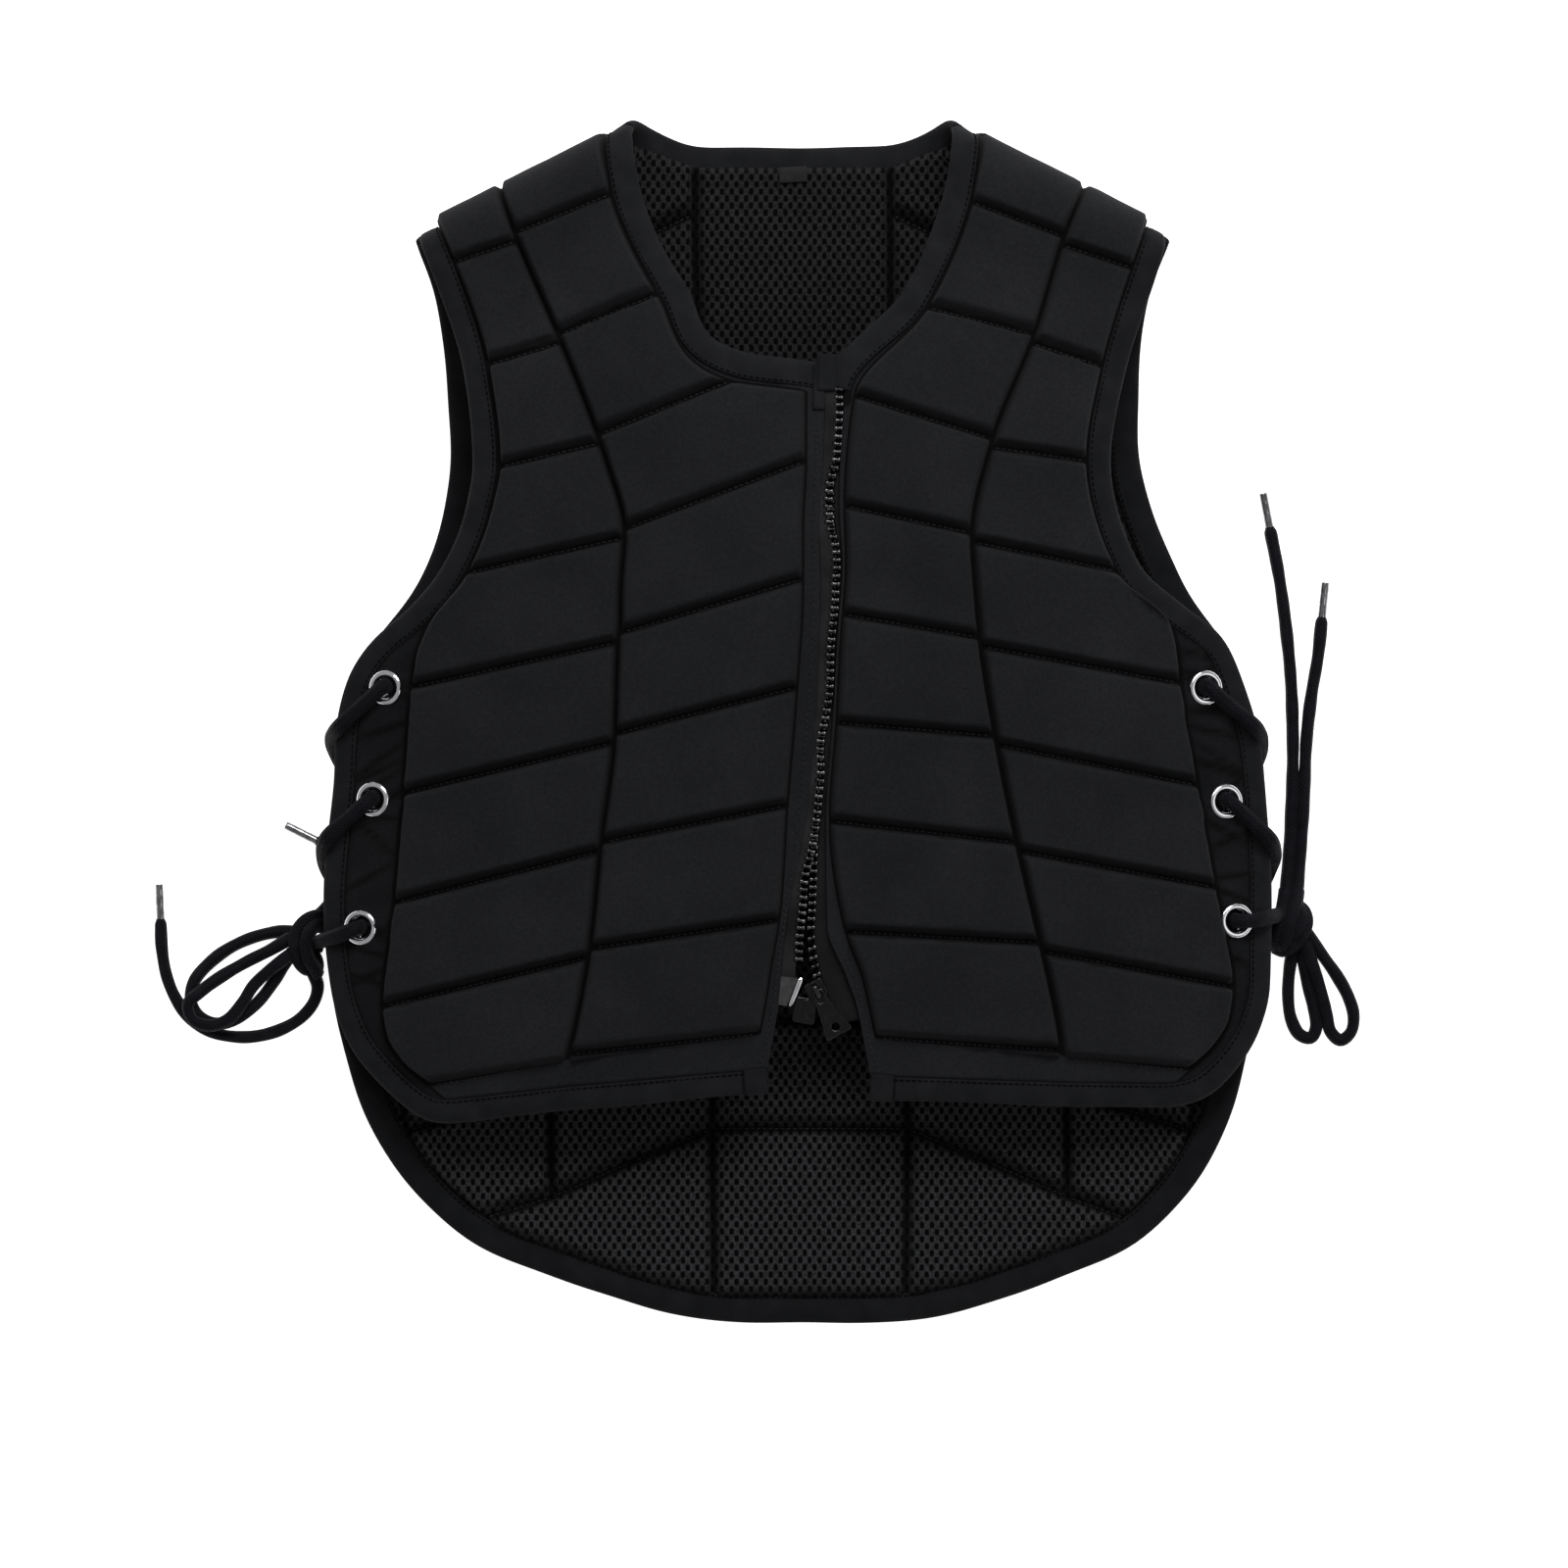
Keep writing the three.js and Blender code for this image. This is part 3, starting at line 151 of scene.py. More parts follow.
floor_paint = Finish("white_floor", 0.9, Specular_IOR_Level=0.1, Emission_Color=(1, 1, 1, 1),
                     Emission_Strength=0.9)
floor_paint.drive("Base Color", floor_paint.patches(0.4, grey(0.93), grey(0.95)))
floor_mesh = bpy.data.meshes.new("floor")
floor_corners = [(x, y, FLOOR_LEVEL) for x, y in oblong(FLOOR_REACH, FLOOR_REACH)]
floor_mesh.from_pydata(floor_corners, [], [(0, 1, 2, 3)])
floor_mesh.materials.append(floor_paint.look)
floor = bpy.data.objects.new("floor", floor_mesh)
bpy.context.scene.collection.objects.link(floor)


# Laces: black round braided cord 6.2 mm thick, through the eyelets of each side and
# tied in a bow beside the lowest one. The loose loops and ends lie on the floor.
LACE_RADIUS = 0.0031
LACE_SIDES = 32
LACE_STEP = 0.0012
LACE_FLATTENED = (1.22, 0.92)
PLAITS_ROUND, PLAIT_PITCH, PLAIT_RIB = 8, 0.0024, 0.04
SLACK_WAVES = [(0.035, 0.0071, 1.3), (0.025, 0.0029, 0)]
TIP_GRIP_LENGTH = 0.0018
BOW_LEFT_1 = [
    (-0.2603, -0.1062, 0.0055), (-0.2678, -0.1062, 0.0040), (-0.2808, -0.1092, 0.0032),
    (-0.2928, -0.1147, 0.0035), (-0.3028, -0.1222, 0.0050), (-0.3103, -0.1312, 0.0080),
    (-0.3123, -0.1402, 0.0098), (-0.3088, -0.1487, 0.0098), (-0.2998, -0.1532, 0.0098),
    (-0.2888, -0.1507, 0.0095), (-0.2778, -0.1422, 0.0070), (-0.2698, -0.1317, 0.0050),
    (-0.2653, -0.1242, 0.0050), (-0.2608, -0.1182, 0.0055)]
BOW_LEFT_2 = [
    (-0.2610, -0.1092, 0.0130), (-0.2708, -0.1152, 0.0120), (-0.2828, -0.1212, 0.0110),
    (-0.2958, -0.1287, 0.0120), (-0.3068, -0.1367, 0.0150), (-0.3133, -0.1432, 0.0164),
    (-0.3108, -0.1512, 0.0164), (-0.3018, -0.1542, 0.0164), (-0.2923, -0.1507, 0.0160),
    (-0.2853, -0.1422, 0.0145), (-0.2803, -0.1342, 0.0125), (-0.2738, -0.1277, 0.0125),
    (-0.2663, -0.1217, 0.0130), (-0.2610, -0.1177, 0.0135)]
END_LEFT_LONG = [
    (-0.2498, -0.1268, 0.0075), (-0.2473, -0.1342, 0.0045), (-0.2493, -0.1422, 0.0032),
    (-0.2558, -0.1502, 0.0032), (-0.2658, -0.1562, 0.0032), (-0.2778, -0.1597, 0.0032),
    (-0.2898, -0.1602, 0.0032), (-0.3018, -0.1577, 0.0032), (-0.3123, -0.1512, 0.0032),
    (-0.3198, -0.1412, 0.0032), (-0.3248, -0.1292, 0.0032), (-0.3273, -0.1152, 0.0032),
    (-0.3280, -0.0992, 0.0032)]
END_LEFT_SHORT = [
    (-0.2478, -0.0992, 0.0080), (-0.2413, -0.0917, 0.0040), (-0.2373, -0.0812, 0.0031),
    (-0.2373, -0.0712, 0.0031), (-0.2413, -0.0627, 0.0031), (-0.2483, -0.0592, 0.0032)]
BOW_RIGHT_1 = [
    (0.2532, -0.1152, 0.0075), (0.2514, -0.1262, 0.0040), (0.2508, -0.1402, 0.0032),
    (0.2524, -0.1512, 0.0032), (0.2567, -0.1590, 0.0032), (0.2624, -0.1607, 0.0032),
    (0.2652, -0.1552, 0.0032), (0.2637, -0.1452, 0.0032), (0.2607, -0.1322, 0.0036),
    (0.2577, -0.1162, 0.0075)]
BOW_RIGHT_2 = [
    (0.2582, -0.1082, 0.0110), (0.2606, -0.1152, 0.0110), (0.2642, -0.1262, 0.0080),
    (0.2682, -0.1392, 0.0055), (0.2705, -0.1492, 0.0034), (0.2727, -0.1577, 0.0032),
    (0.2777, -0.1619, 0.0032), (0.2830, -0.1577, 0.0032), (0.2844, -0.1492, 0.0032),
    (0.2815, -0.1392, 0.0033), (0.2757, -0.1287, 0.0045), (0.2682, -0.1182, 0.0080),
    (0.2617, -0.1087, 0.0110), (0.2582, -0.1042, 0.0110)]
END_RIGHT_1 = [
    (0.2495, -0.0862, 0.0080), (0.2504, -0.0752, 0.0045), (0.2517, -0.0582, 0.0032),
    (0.2528, -0.0352, 0.0032), (0.2532, -0.0082, 0.0032), (0.2522, 0.0228, 0.0032),
    (0.2497, 0.0498, 0.0032), (0.2462, 0.0758, 0.0032), (0.2412, 0.1018, 0.0032)]
END_RIGHT_2 = [
    (0.2552, -0.0862, 0.0080), (0.2563, -0.0752, 0.0045), (0.2577, -0.0582, 0.0032),
    (0.2591, -0.0322, 0.0032), (0.2602, -0.0082, 0.0032), (0.2627, 0.0148, 0.0032),
    (0.2662, 0.0358, 0.0032), (0.2682, 0.0558, 0.0032)]
LACING_LEFT = [
    (-0.2103, 0.0078, 0.0037), (-0.2076, 0.0078, 0.0169), (-0.2085, 0.0188, 0.0315),
    (-0.2129, 0.0188, 0.0443), (-0.2218, 0.0108, 0.0430), (-0.2342, -0.0002, 0.0407),
    (-0.2395, -0.0092, 0.0205), (-0.2370, -0.0172, 0.0099), (-0.2173, -0.0502, 0.0052),
    (-0.2146, -0.0502, 0.0184), (-0.2150, -0.0382, 0.0289), (-0.2194, -0.0382, 0.0416),
    (-0.2283, -0.0462, 0.0403), (-0.2406, -0.0572, 0.0381), (-0.2440, -0.0668, 0.0222),
    (-0.2425, -0.0742, 0.0099), (-0.2198, -0.1102, 0.0057), (-0.2171, -0.1102, 0.0189),
    (-0.2216, -0.1036, 0.0268), (-0.2259, -0.1038, 0.0395), (-0.2331, -0.1068, 0.0378),
    (-0.2410, -0.1096, 0.0310), (-0.2462, -0.1112, 0.0190), (-0.2515, -0.1120, 0.0110)]
LACING_RIGHT = [
    (0.2097, 0.0078, 0.0043), (0.2070, 0.0078, 0.0176), (0.2044, 0.0188, 0.0317), (0.2088, 0.0188, 0.0445),
    (0.2177, 0.0108, 0.0431), (0.2314, -0.0002, 0.0404), (0.2364, -0.0094, 0.0215),
    (0.2356, -0.0172, 0.0099), (0.2177, -0.0502, 0.0060), (0.2150, -0.0502, 0.0192),
    (0.2148, -0.0392, 0.0277), (0.2194, -0.0392, 0.0404), (0.2282, -0.0472, 0.0390),
    (0.2396, -0.0582, 0.0371), (0.2430, -0.0676, 0.0222), (0.2410, -0.0752, 0.0099),
    (0.2217, -0.1102, 0.0068), (0.2190, -0.1102, 0.0200), (0.2204, -0.1001, 0.0253),
    (0.2249, -0.1003, 0.0380), (0.2330, -0.1000, 0.0365), (0.2396, -0.0985, 0.0300),
    (0.2448, -0.0978, 0.0190), (0.2495, -0.0985, 0.0110)]


def laid_line(points, spacing):
    """Smooth line through route points, as a limp cord lies, with a point every spacing metres."""
    p = np.array(points, float)
    p = np.vstack([2 * p[0] - p[1], p, 2 * p[-1] - p[-2]])
    t = np.linspace(0, 1, 24, endpoint=False)[:, None]
    runs = []
    for a, b, c, d in zip(p, p[1:], p[2:], p[3:]):
        before, span, after = (max(np.linalg.norm(q), 1e-8) ** 0.5 for q in (b - a, c - b, d - c))
        leave = ((b - a) / before - (c - a) / (before + span) + (c - b) / span) * span
        arrive = ((c - b) / span - (d - b) / (span + after) + (d - c) / after) * span
        runs.append((2 * t**3 - 3 * t**2 + 1) * b + (t**3 - 2 * t**2 + t) * leave
                    + (3 * t**2 - 2 * t**3) * c + (t**3 - t**2) * arrive)
    line = np.vstack([*runs, p[-2][None]])
    return even_steps(line, spacing)


def way_along(line):
    """How far along the line each of its points lies."""
    return np.concatenate([[0], np.cumsum(np.linalg.norm(np.diff(line, axis=0), axis=1))])


def even_steps(line, spacing):
    """The same line with its points an even distance apart."""
    way = way_along(line)
    count = max(2, int(round(way[-1] / spacing)) + 1)
    at = np.linspace(0, way[-1], count)
    return np.column_stack([np.interp(at, way, line[:, k]) for k in range(line.shape[1])])


def unit(v):
    return v / np.maximum(np.linalg.norm(v, axis=-1, keepdims=True), 1e-12)


def headings(line):
    return unit(np.gradient(line, axis=0))


def make_piece(name, points, faces, finishes, uv=None, slots=None):
    """A smooth mesh piece in the vest's frame. uv has one place per point, in metres."""
    mesh = bpy.data.meshes.new(name)
    mesh.from_pydata(np.asarray(points, float).tolist(), [], [list(map(int, f)) for f in faces])
    for finish in finishes if isinstance(finishes, list) else [finishes]:
        mesh.materials.append(finish.look)
    if uv is not None:
        corner = np.empty(len(mesh.loops), np.int32)
        mesh.loops.foreach_get("vertex_index", corner)
        layer = mesh.uv_layers.new(name="flat")
        layer.data.foreach_set("uv", np.asarray(uv, np.float32)[corner].ravel())
    if slots is not None:
        mesh.polygons.foreach_set("material_index", np.asarray(slots, np.int32))
    mesh.polygons.foreach_set("use_smooth", np.ones(len(mesh.polygons), bool))
    mesh.update()
    piece = bpy.data.objects.new(name, mesh)
    bpy.context.scene.collection.objects.link(piece)
    return piece


def put_on(piece, body, slot, *cad_nodes):
    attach(piece, body)
    if cad_nodes:
        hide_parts(*cad_nodes)
    return piece


def swept(line, across, up, section):
    """Points, faces and flat places of a closed section, of (side, height) places, carried along a line."""
    section = np.asarray(section, float)
    if section.ndim == 2:
        section = np.repeat(section[None], len(line), axis=0)
    ring = section.shape[1]
    points = line[:, None] + across[:, None] * section[..., :1] + up[:, None] * section[..., 1:]
    faces = []
    for i in range(len(line) - 1):
        for k in range(ring):
            a, b = i * ring + k, i * ring + (k + 1) % ring
            faces.append((a, b, b + ring, a + ring))
    faces.append(tuple(range(ring))[::-1])
    faces.append(tuple(range((len(line) - 1) * ring, len(line) * ring)))
    flat = np.broadcast_arrays(way_along(section[0])[None], way_along(line)[:, None])
    return points.reshape(-1, 3), faces, np.stack(flat, axis=-1).reshape(-1, 2)


def untwisted(line):
    """Two directions square to the line that turn no more than it does."""
    along = headings(line)
    side = np.zeros_like(line)
    start = np.array([0.0, 0.0, 1.0]) if abs(along[0][2]) < 0.9 else np.array([1.0, 0.0, 0.0])
    side[0] = unit(np.cross(start, along[0]))
    for i in range(1, len(line)):
        side[i] = unit(side[i - 1] - along[i] * np.dot(side[i - 1], along[i]))
    return side, np.cross(along, side)


lace_braid = Finish("black_lace_braid", 0.72, Specular_IOR_Level=0.08, Sheen_Weight=0.03, Sheen_Roughness=0.4)
lace_braid.drive("Base Color", lace_braid.patches(0.006, (0.0030, 0.0030, 0.0046), (0.0058, 0.0058, 0.0086)))
braid_flat = lace_braid.node("SeparateXYZ", {"Vector": lace_braid.flat}).outputs


def braid_strand(sign):
    """Height of the strands that wind one way round a braided cord."""
    turn = lace_braid.number("MULTIPLY", braid_flat["X"], PLAITS_ROUND / LACE_RADIUS)
    climb = lace_braid.number("MULTIPLY_ADD", braid_flat["Y"], sign * 2 * math.pi / PLAIT_PITCH, turn)
    return lace_braid.number("SINE", climb)


lace_braid.relief(lace_braid.number("MAXIMUM", braid_strand(1), braid_strand(-1)), 0.5, 0.00025)


def lace_tube(route, spacing, flattened=(1, 1), slack=1.0, drawn_in=0.0):
    """Line, points, faces and flat places of a length of lace: ribbed by its strands, uneven where it is
    slack, and drawn in where a tip grips its far end."""
    line = laid_line(route, spacing)
    way = np.arange(len(line)) * spacing
    thick = 1 + slack * sum(rise * np.sin(way / length + start) for rise, length, start in SLACK_WAVES)
    thick *= 1 - drawn_in * np.exp(-((way[-1] - way) / TIP_GRIP_LENGTH) ** 2)
    turn = np.linspace(0, 2 * math.pi, LACE_SIDES, endpoint=False)
    ribs = 1 + PLAIT_RIB * np.cos(PLAITS_ROUND * turn)
    section = np.stack([np.cos(turn) * flattened[0], np.sin(turn) * flattened[1]], -1)
    sections = LACE_RADIUS * thick[:, None, None] * ribs[None, :, None] * section
    return line, *swept(line, *untwisted(line), sections)


def braided_cord(name, route, **shape):
    line, points, faces, uv = lace_tube(route, LACE_STEP, **shape)
    return make_piece(name, points, faces, lace_braid, uv), line


def way_length(line):
    return float(way_along(line)[-1])


for side, route in (("left", LACING_LEFT), ("right", LACING_RIGHT)):
    lacing, _ = braided_cord("side_lace_" + side, route, flattened=LACE_FLATTENED)
    put_on(lacing, "vest", "lace", "lacing_" + side)

for bow, route in (("bow_left_1", BOW_LEFT_1), ("bow_left_2", BOW_LEFT_2), ("bow_right_1", BOW_RIGHT_1),
                   ("bow_right_2", BOW_RIGHT_2)):
    loop, line = braided_cord("loop_of_" + bow, route)
    put_on(loop, "vest", "lace", bow)
    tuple(route[0])
    way_length(line)


# Aglets: thin polished metal tips rolled and crimped on the four lace ends,
# each a little slimmer than the cord and open at its far end.
AGLET_RADIUS, AGLET_LENGTH, AGLET_WALL = 0.0021, 0.017, 0.00035
AGLET_SIDES = 28
AGLET_SEAM_TURN, AGLET_SEAM_WIDTH, AGLET_SEAM_DEPTH = 1.2, 0.12, 0.06


def rubbed_metal(name, low, high):
    """Bare polished metal, rubbed unevenly by handling."""
    metal = Finish(name, 0.12, Metallic=1.0)
    metal.drive("Base Color", metal.patches(0.004, grey(low, 1.04), grey(high, 1.03)))
    metal.drive("Roughness", metal.ranged(metal.noise(900.0, 4.0), onto=(0.06, 0.24)))
    return metal


tip_metal = rubbed_metal("grey_tip_metal", 0.16, 0.34)


def turned(profile, sides):
    """Points and faces of a closed (radius, height) profile turned round the Z axis."""
    angle = np.linspace(0, 2 * math.pi, sides, endpoint=False)
    r, z = np.array(profile, float).T
    points = np.stack([np.outer(np.cos(angle), r), np.outer(np.sin(angle), r),
                       np.broadcast_to(z, (sides, len(z)))], -1)
    faces = []
    for i in range(sides):
        j = (i + 1) % sides
        for k in range(len(r)):
            m = (k + 1) % len(r)
            faces.append((i * len(r) + k, j * len(r) + k, j * len(r) + m, i * len(r) + m))
    return points.reshape(-1, 3), faces


def set_along(points, origin, direction):
    """Points made along Z, set down at origin and turned to point along direction."""
    turn = np.array(Vector((0, 0, 1)).rotation_difference(Vector(direction)).to_matrix())
    return points @ turn.T + np.asarray(origin)


def aglet(name, cad_node, route):
    last, before = np.array(route[-1]), np.array(route[-2])
    heading = unit((last - before) * (1, 1, 0))
    r, n, wall = AGLET_RADIUS, AGLET_LENGTH, AGLET_WALL
    profile = [(r * 0.9, -0.0016), (r * 1.02, -0.0010), (r, 0.0), (r, n * 0.30), (r * 0.93, n * 0.34),
               (r, n * 0.38), (r, n * 0.62), (r * 0.94, n * 0.66), (r, n * 0.70), (r * 0.98, n - 0.0004),
               (r * 0.92, n), (r - wall, n), (r - wall * 1.2, n - 0.0012), (r - wall * 1.2, n - 0.004),
               (0.0003, n - 0.0042), (0.0003, -0.0016)]
    points, faces = turned(profile, AGLET_SIDES)
    from_seam = np.arctan2(points[:, 1], points[:, 0]) - AGLET_SEAM_TURN
    points[:, :2] *= (1 - AGLET_SEAM_DEPTH * np.exp(-(from_seam / AGLET_SEAM_WIDTH) ** 2))[:, None]
    tip = make_piece(name, set_along(points, last + heading * 0.0003, heading), faces, tip_metal)
    return put_on(tip, "vest", "silver", cad_node)


for end, route in (("left_long", END_LEFT_LONG), ("left_short", END_LEFT_SHORT), ("right_1", END_RIGHT_1),
                   ("right_2", END_RIGHT_2)):
    tail, line = braided_cord("free_end_" + end, route, drawn_in=0.36)
    put_on(tail, "vest", "lace", "lace_end_" + end)
    tip = aglet("metal_tip_" + end, "aglet_" + end, route)
    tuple(route[0])
    way_length(line)


# Knots: the same soft lace wound twice over the roots of its loops and drawn tight. The left one shows
# as two fat turns from top to foot, the right one as the two free ends slung over a turn round them.
KNOT_STEP = 0.001
KNOT_LEFT = [
    [(-0.2433, -0.0992, 0.0080), (-0.2478, -0.0986, 0.0110), (-0.2533, -0.1008, 0.0140),
     (-0.2577, -0.1067, 0.0152), (-0.2583, -0.1147, 0.0150), (-0.2560, -0.1217, 0.0125),
     (-0.2518, -0.1252, 0.0085), (-0.2488, -0.1237, 0.0055)],
    [(-0.2433, -0.1037, 0.0100), (-0.2476, -0.1030, 0.0140), (-0.2514, -0.1070, 0.0170),
     (-0.2528, -0.1137, 0.0174), (-0.2514, -0.1200, 0.0155), (-0.2484, -0.1247, 0.0110),
     (-0.2470, -0.1282, 0.0075)],
    [(-0.2618, -0.1072, 0.0080), (-0.2548, -0.1102, 0.0095), (-0.2488, -0.1122, 0.0100),
     (-0.2443, -0.1132, 0.0090)],
    [(-0.2618, -0.1182, 0.0070), (-0.2558, -0.1162, 0.0085), (-0.2498, -0.1182, 0.0085),
     (-0.2478, -0.1232, 0.0085), (-0.2494, -0.1282, 0.0070)]]
KNOT_RIGHT = [
    [(0.2496, -0.0847, 0.0076), (0.2487, -0.0902, 0.0110), (0.2471, -0.0972, 0.0150),
     (0.2451, -0.1047, 0.0160), (0.2436, -0.1107, 0.0130), (0.2438, -0.1142, 0.0085)],
    [(0.2553, -0.0847, 0.0076), (0.2544, -0.0902, 0.0115), (0.2526, -0.0972, 0.0160),
     (0.2502, -0.1052, 0.0170), (0.2481, -0.1117, 0.0140), (0.2471, -0.1157, 0.0090)],
    [(0.2438, -0.1137, 0.0070), (0.2482, -0.1154, 0.0095), (0.2532, -0.1128, 0.0125),
     (0.2578, -0.1072, 0.0140), (0.2598, -0.1012, 0.0130), (0.2582, -0.0957, 0.0095),
     (0.2542, -0.0927, 0.0070)],
    [(0.2462, -0.1082, 0.0090), (0.2507, -0.1088, 0.0125), (0.2550, -0.1047, 0.0155),
     (0.2570, -0.0990, 0.0145), (0.2548, -0.0937, 0.0110), (0.2507, -0.0907, 0.0085)],
    [(0.2502, -0.0962, 0.0080), (0.2522, -0.1062, 0.0090), (0.2532, -0.1167, 0.0070)],
    [(0.2542, -0.0982, 0.0090), (0.2572, -0.1062, 0.0100), (0.2578, -0.1172, 0.0070)]]


def assembled(parts):
    """Points and faces of several meshes as one."""
    points, faces, shift = [], [], 0
    for part_points, part_faces in parts:
        points.append(part_points)
        faces += [tuple(k + shift for k in face) for face in part_faces]
        shift += len(part_points)
    return np.vstack(points), faces


for name, routes in (("knot_left", KNOT_LEFT), ("knot_right", KNOT_RIGHT)):
    strands = [lace_tube(route, KNOT_STEP, LACE_FLATTENED, slack=0) for route in routes]
    points, faces = assembled(strand[1:3] for strand in strands)
    uv = np.vstack([strand[3] for strand in strands])
    put_on(make_piece("wound_" + name, points, faces, lace_braid, uv), "vest", "lace", name)


# Front halves: foam pads about 16 mm thick between black napped cloth outside and mesh lining inside,
# sewn down in two columns, with a thin side flap for the eyelets and a thin band at the zip and hem.
MM = 0.001
VEST_MIDDLE = np.array([1.8, 0.2])
PAD_HALF, PAD_UNEVEN = 8.0, 0.3
SEAM_HALF = 1.5
RIM_SHARE = 0.6
QUILT_ROWS = 10
FRONT_LEFT = {
    "row": [0, 1, 2, 3, 3.25, 4, 4.6, 4.8, 5, 6, 7, 8, 8.4, 8.75, 9, 10],
    "edge": [(-188, 259.1), (-178, 235), (-161, 183), (-155, 131), (-158, 114), (-172, 77), (-192, 52),
             (-211, 36), (-221, 20), (-228, -33), (-233, -93), (-229, -135), (-221, -158), (-208, -175),
             (-194, -188), (-184, -194)],
    "outer": [(-185, 260.6), (-175, 236), (-157, 183), (-151, 131), (-154, 115), (-168, 77), (-189, 48),
              (-194, 34), (-196, 19), (-200, -35), (-205, -91), (-211, -144), (-209, -158), (-200, -173),
              (-186, -184), (-175, -194)],
    "princess": [(-152, 277.1), (-143, 249), (-120, 196), (-100, 145), (-96, 133), (-87, 97), (-89, 64),
                 (-89, 54), (-90, 44), (-92, -7), (-99, -62), (-105, -116), (-109, -139), (-113, -158),
                 (-116, -170), (-115, -187)],
    "inner": [(-99, 303.6), (-94, 271), (-70, 219), (-32, 175), (5.5, 169), (5.5, 134), (4, 99), (4, 87),
              (4, 74), (1, 19), (-4, -41), (-8, -99), (-12, -122), (-15, -141), (-18, -157), (-27, -179)],
    "zip": [(-96, 305.1), (-91, 273), (-67, 221), (-29, 179), (15, 172), (14.2, 135), (12, 100),
            (12.3, 88), (12.8, 75), (11.3, 20), (6.5, -40), (-4, -98), (-6.8, -121), (-8.5, -140),
            (-11.5, -157), (-15, -178)],
}
FRONT_RIGHT = {
    "row": [0, 1, 2, 3, 4, 4.6, 4.8, 5, 6, 7, 8, 8.4, 8.75, 9, 10],
    "edge": [(184, 259.1), (175, 233), (159, 182), (151, 134), (168, 75), (196, 50), (211, 39), (220, 20),
             (231, -30), (234, -83), (234, -133), (229, -153), (219, -169), (207, -181), (196, -185)],
    "outer": [(181, 260.6), (172, 233), (156, 182), (148, 134), (164, 78), (191, 51), (194, 38), (196, 21),
              (205, -31), (214, -83), (223, -134), (221, -150), (213, -164), (200, -176), (189, -186)],
    "princess": [(148, 277.1), (136, 247), (120, 196), (99, 143), (89, 95), (91, 63), (92, 52), (93, 42),
                 (101, -8), (112, -62), (124, -113), (129, -135), (133, -155), (135, -168), (137, -185)],
    "inner": [(95, 303.6), (89, 267), (66, 212), (29, 167), (24, 111), (24.7, 79), (24, 67), (23, 56),
              (19.8, 1), (16.5, -49), (24.5, -105), (33, -128), (37, -145), (40, -159), (50, -182)],
    "zip": [(92, 305.1), (86, 269), (63, 214), (25, 170), (22, 112), (23.5, 80), (22.9, 68), (21.9, 57),
            (18.6, 2), (15.2, -48), (15.8, -103), (25, -127), (31, -144), (34, -159), (38, -181)],
}
CROWN_Y = [-200, -80, 50, 150, 230, 306]
CROWN_Z = [58, 66, 69, 63, 50, 36]
ARCH_HALF_WIDTH, ARCH_POWER, FLAP_EDGE_Z = 243, 2.4, 25
ROLL_CENTRE_Z, ROLL_RADIUS, ROLL_DEPTH, SHOULDER_BLEND = 22, 14, 22, 90
CREST_LEFT, CREST_LEFT_IN = (-188, 259.1), (0.4472, -0.8944)
CREST_RIGHT, CREST_RIGHT_IN = (184, 259.1), (-0.4472, -0.8944)


def smooth_through(rows, values, at):
    """Values at these rows on a smooth line through the table's points that never swings past them."""
    rows, values, at = np.array(rows, float), np.array(values, float), np.asarray(at, float)
    if values.ndim == 1:
        values = values[:, None]
    gap = np.diff(rows)[:, None]
    rate = np.diff(values, axis=0) / gap
    slope = np.vstack([rate[:1], np.zeros_like(rate[1:]), rate[-1:]])
    before, after = rate[:-1], rate[1:]
    same = before * after > 0
    with np.errstate(divide="ignore", invalid="ignore"):
        mean = (gap[:-1] + gap[1:]) / (gap[1:] / before + gap[:-1] / after)
    slope[1:-1] = np.where(same, mean, 0)
    i = np.clip(np.searchsorted(rows, at, side="right") - 1, 0, len(rows) - 2)
    h = gap[i]
    t = np.clip((at - rows[i]) / h[:, 0], 0, 1)[:, None]
    return ((2 * t**3 - 3 * t**2 + 1) * values[i] + (t**3 - 2 * t**2 + t) * h * slope[i]
            + (3 * t**2 - 2 * t**3) * values[i + 1] + (t**3 - t**2) * h * slope[i + 1])


def roll_over(x, y, flat_z, upward):
    """Cloth carried over the shoulder: near the crest it turns down a half roll to meet the other side."""
    left = x < 0
    in_x = np.where(left, CREST_LEFT_IN[0], CREST_RIGHT_IN[0])
    in_y = np.where(left, CREST_LEFT_IN[1], CREST_RIGHT_IN[1])
    inside = ((x - np.where(left, CREST_LEFT[0], CREST_RIGHT[0])) * in_x
              + (y - np.where(left, CREST_LEFT[1], CREST_RIGHT[1])) * in_y)
    reach = np.maximum(inside, 0.05)
    t = np.clip((reach - ROLL_DEPTH) / SHOULDER_BLEND, 0, 1)
    eased = t * t * (3 - 2 * t)
    level = ROLL_CENTRE_Z + upward * ROLL_RADIUS
    flat = level + (flat_z - level) * eased
    angle = np.minimum(reach / ROLL_DEPTH, 1) * math.pi / 2
    rolled = reach < ROLL_DEPTH
    shift = np.where(rolled, ROLL_DEPTH - ROLL_RADIUS * np.cos(angle) - inside, 0)
    z = np.where(rolled, ROLL_CENTRE_Z + upward * ROLL_RADIUS * np.sin(angle), flat)
    return np.stack([x + in_x * shift, y + in_y * shift, z], -1)


def front_middle(x, y):
    """Middle of the front's thickness: an arch over the chest that falls to the side flaps."""
    crown = np.mean([np.interp(y + lag, CROWN_Y, CROWN_Z) for lag in range(-32, 33, 8)], axis=0)
    across = np.minimum(1, np.abs(x) / ARCH_HALF_WIDTH) ** ARCH_POWER
    return roll_over(x, y, crown + (FLAP_EDGE_Z - crown) * across, 1)


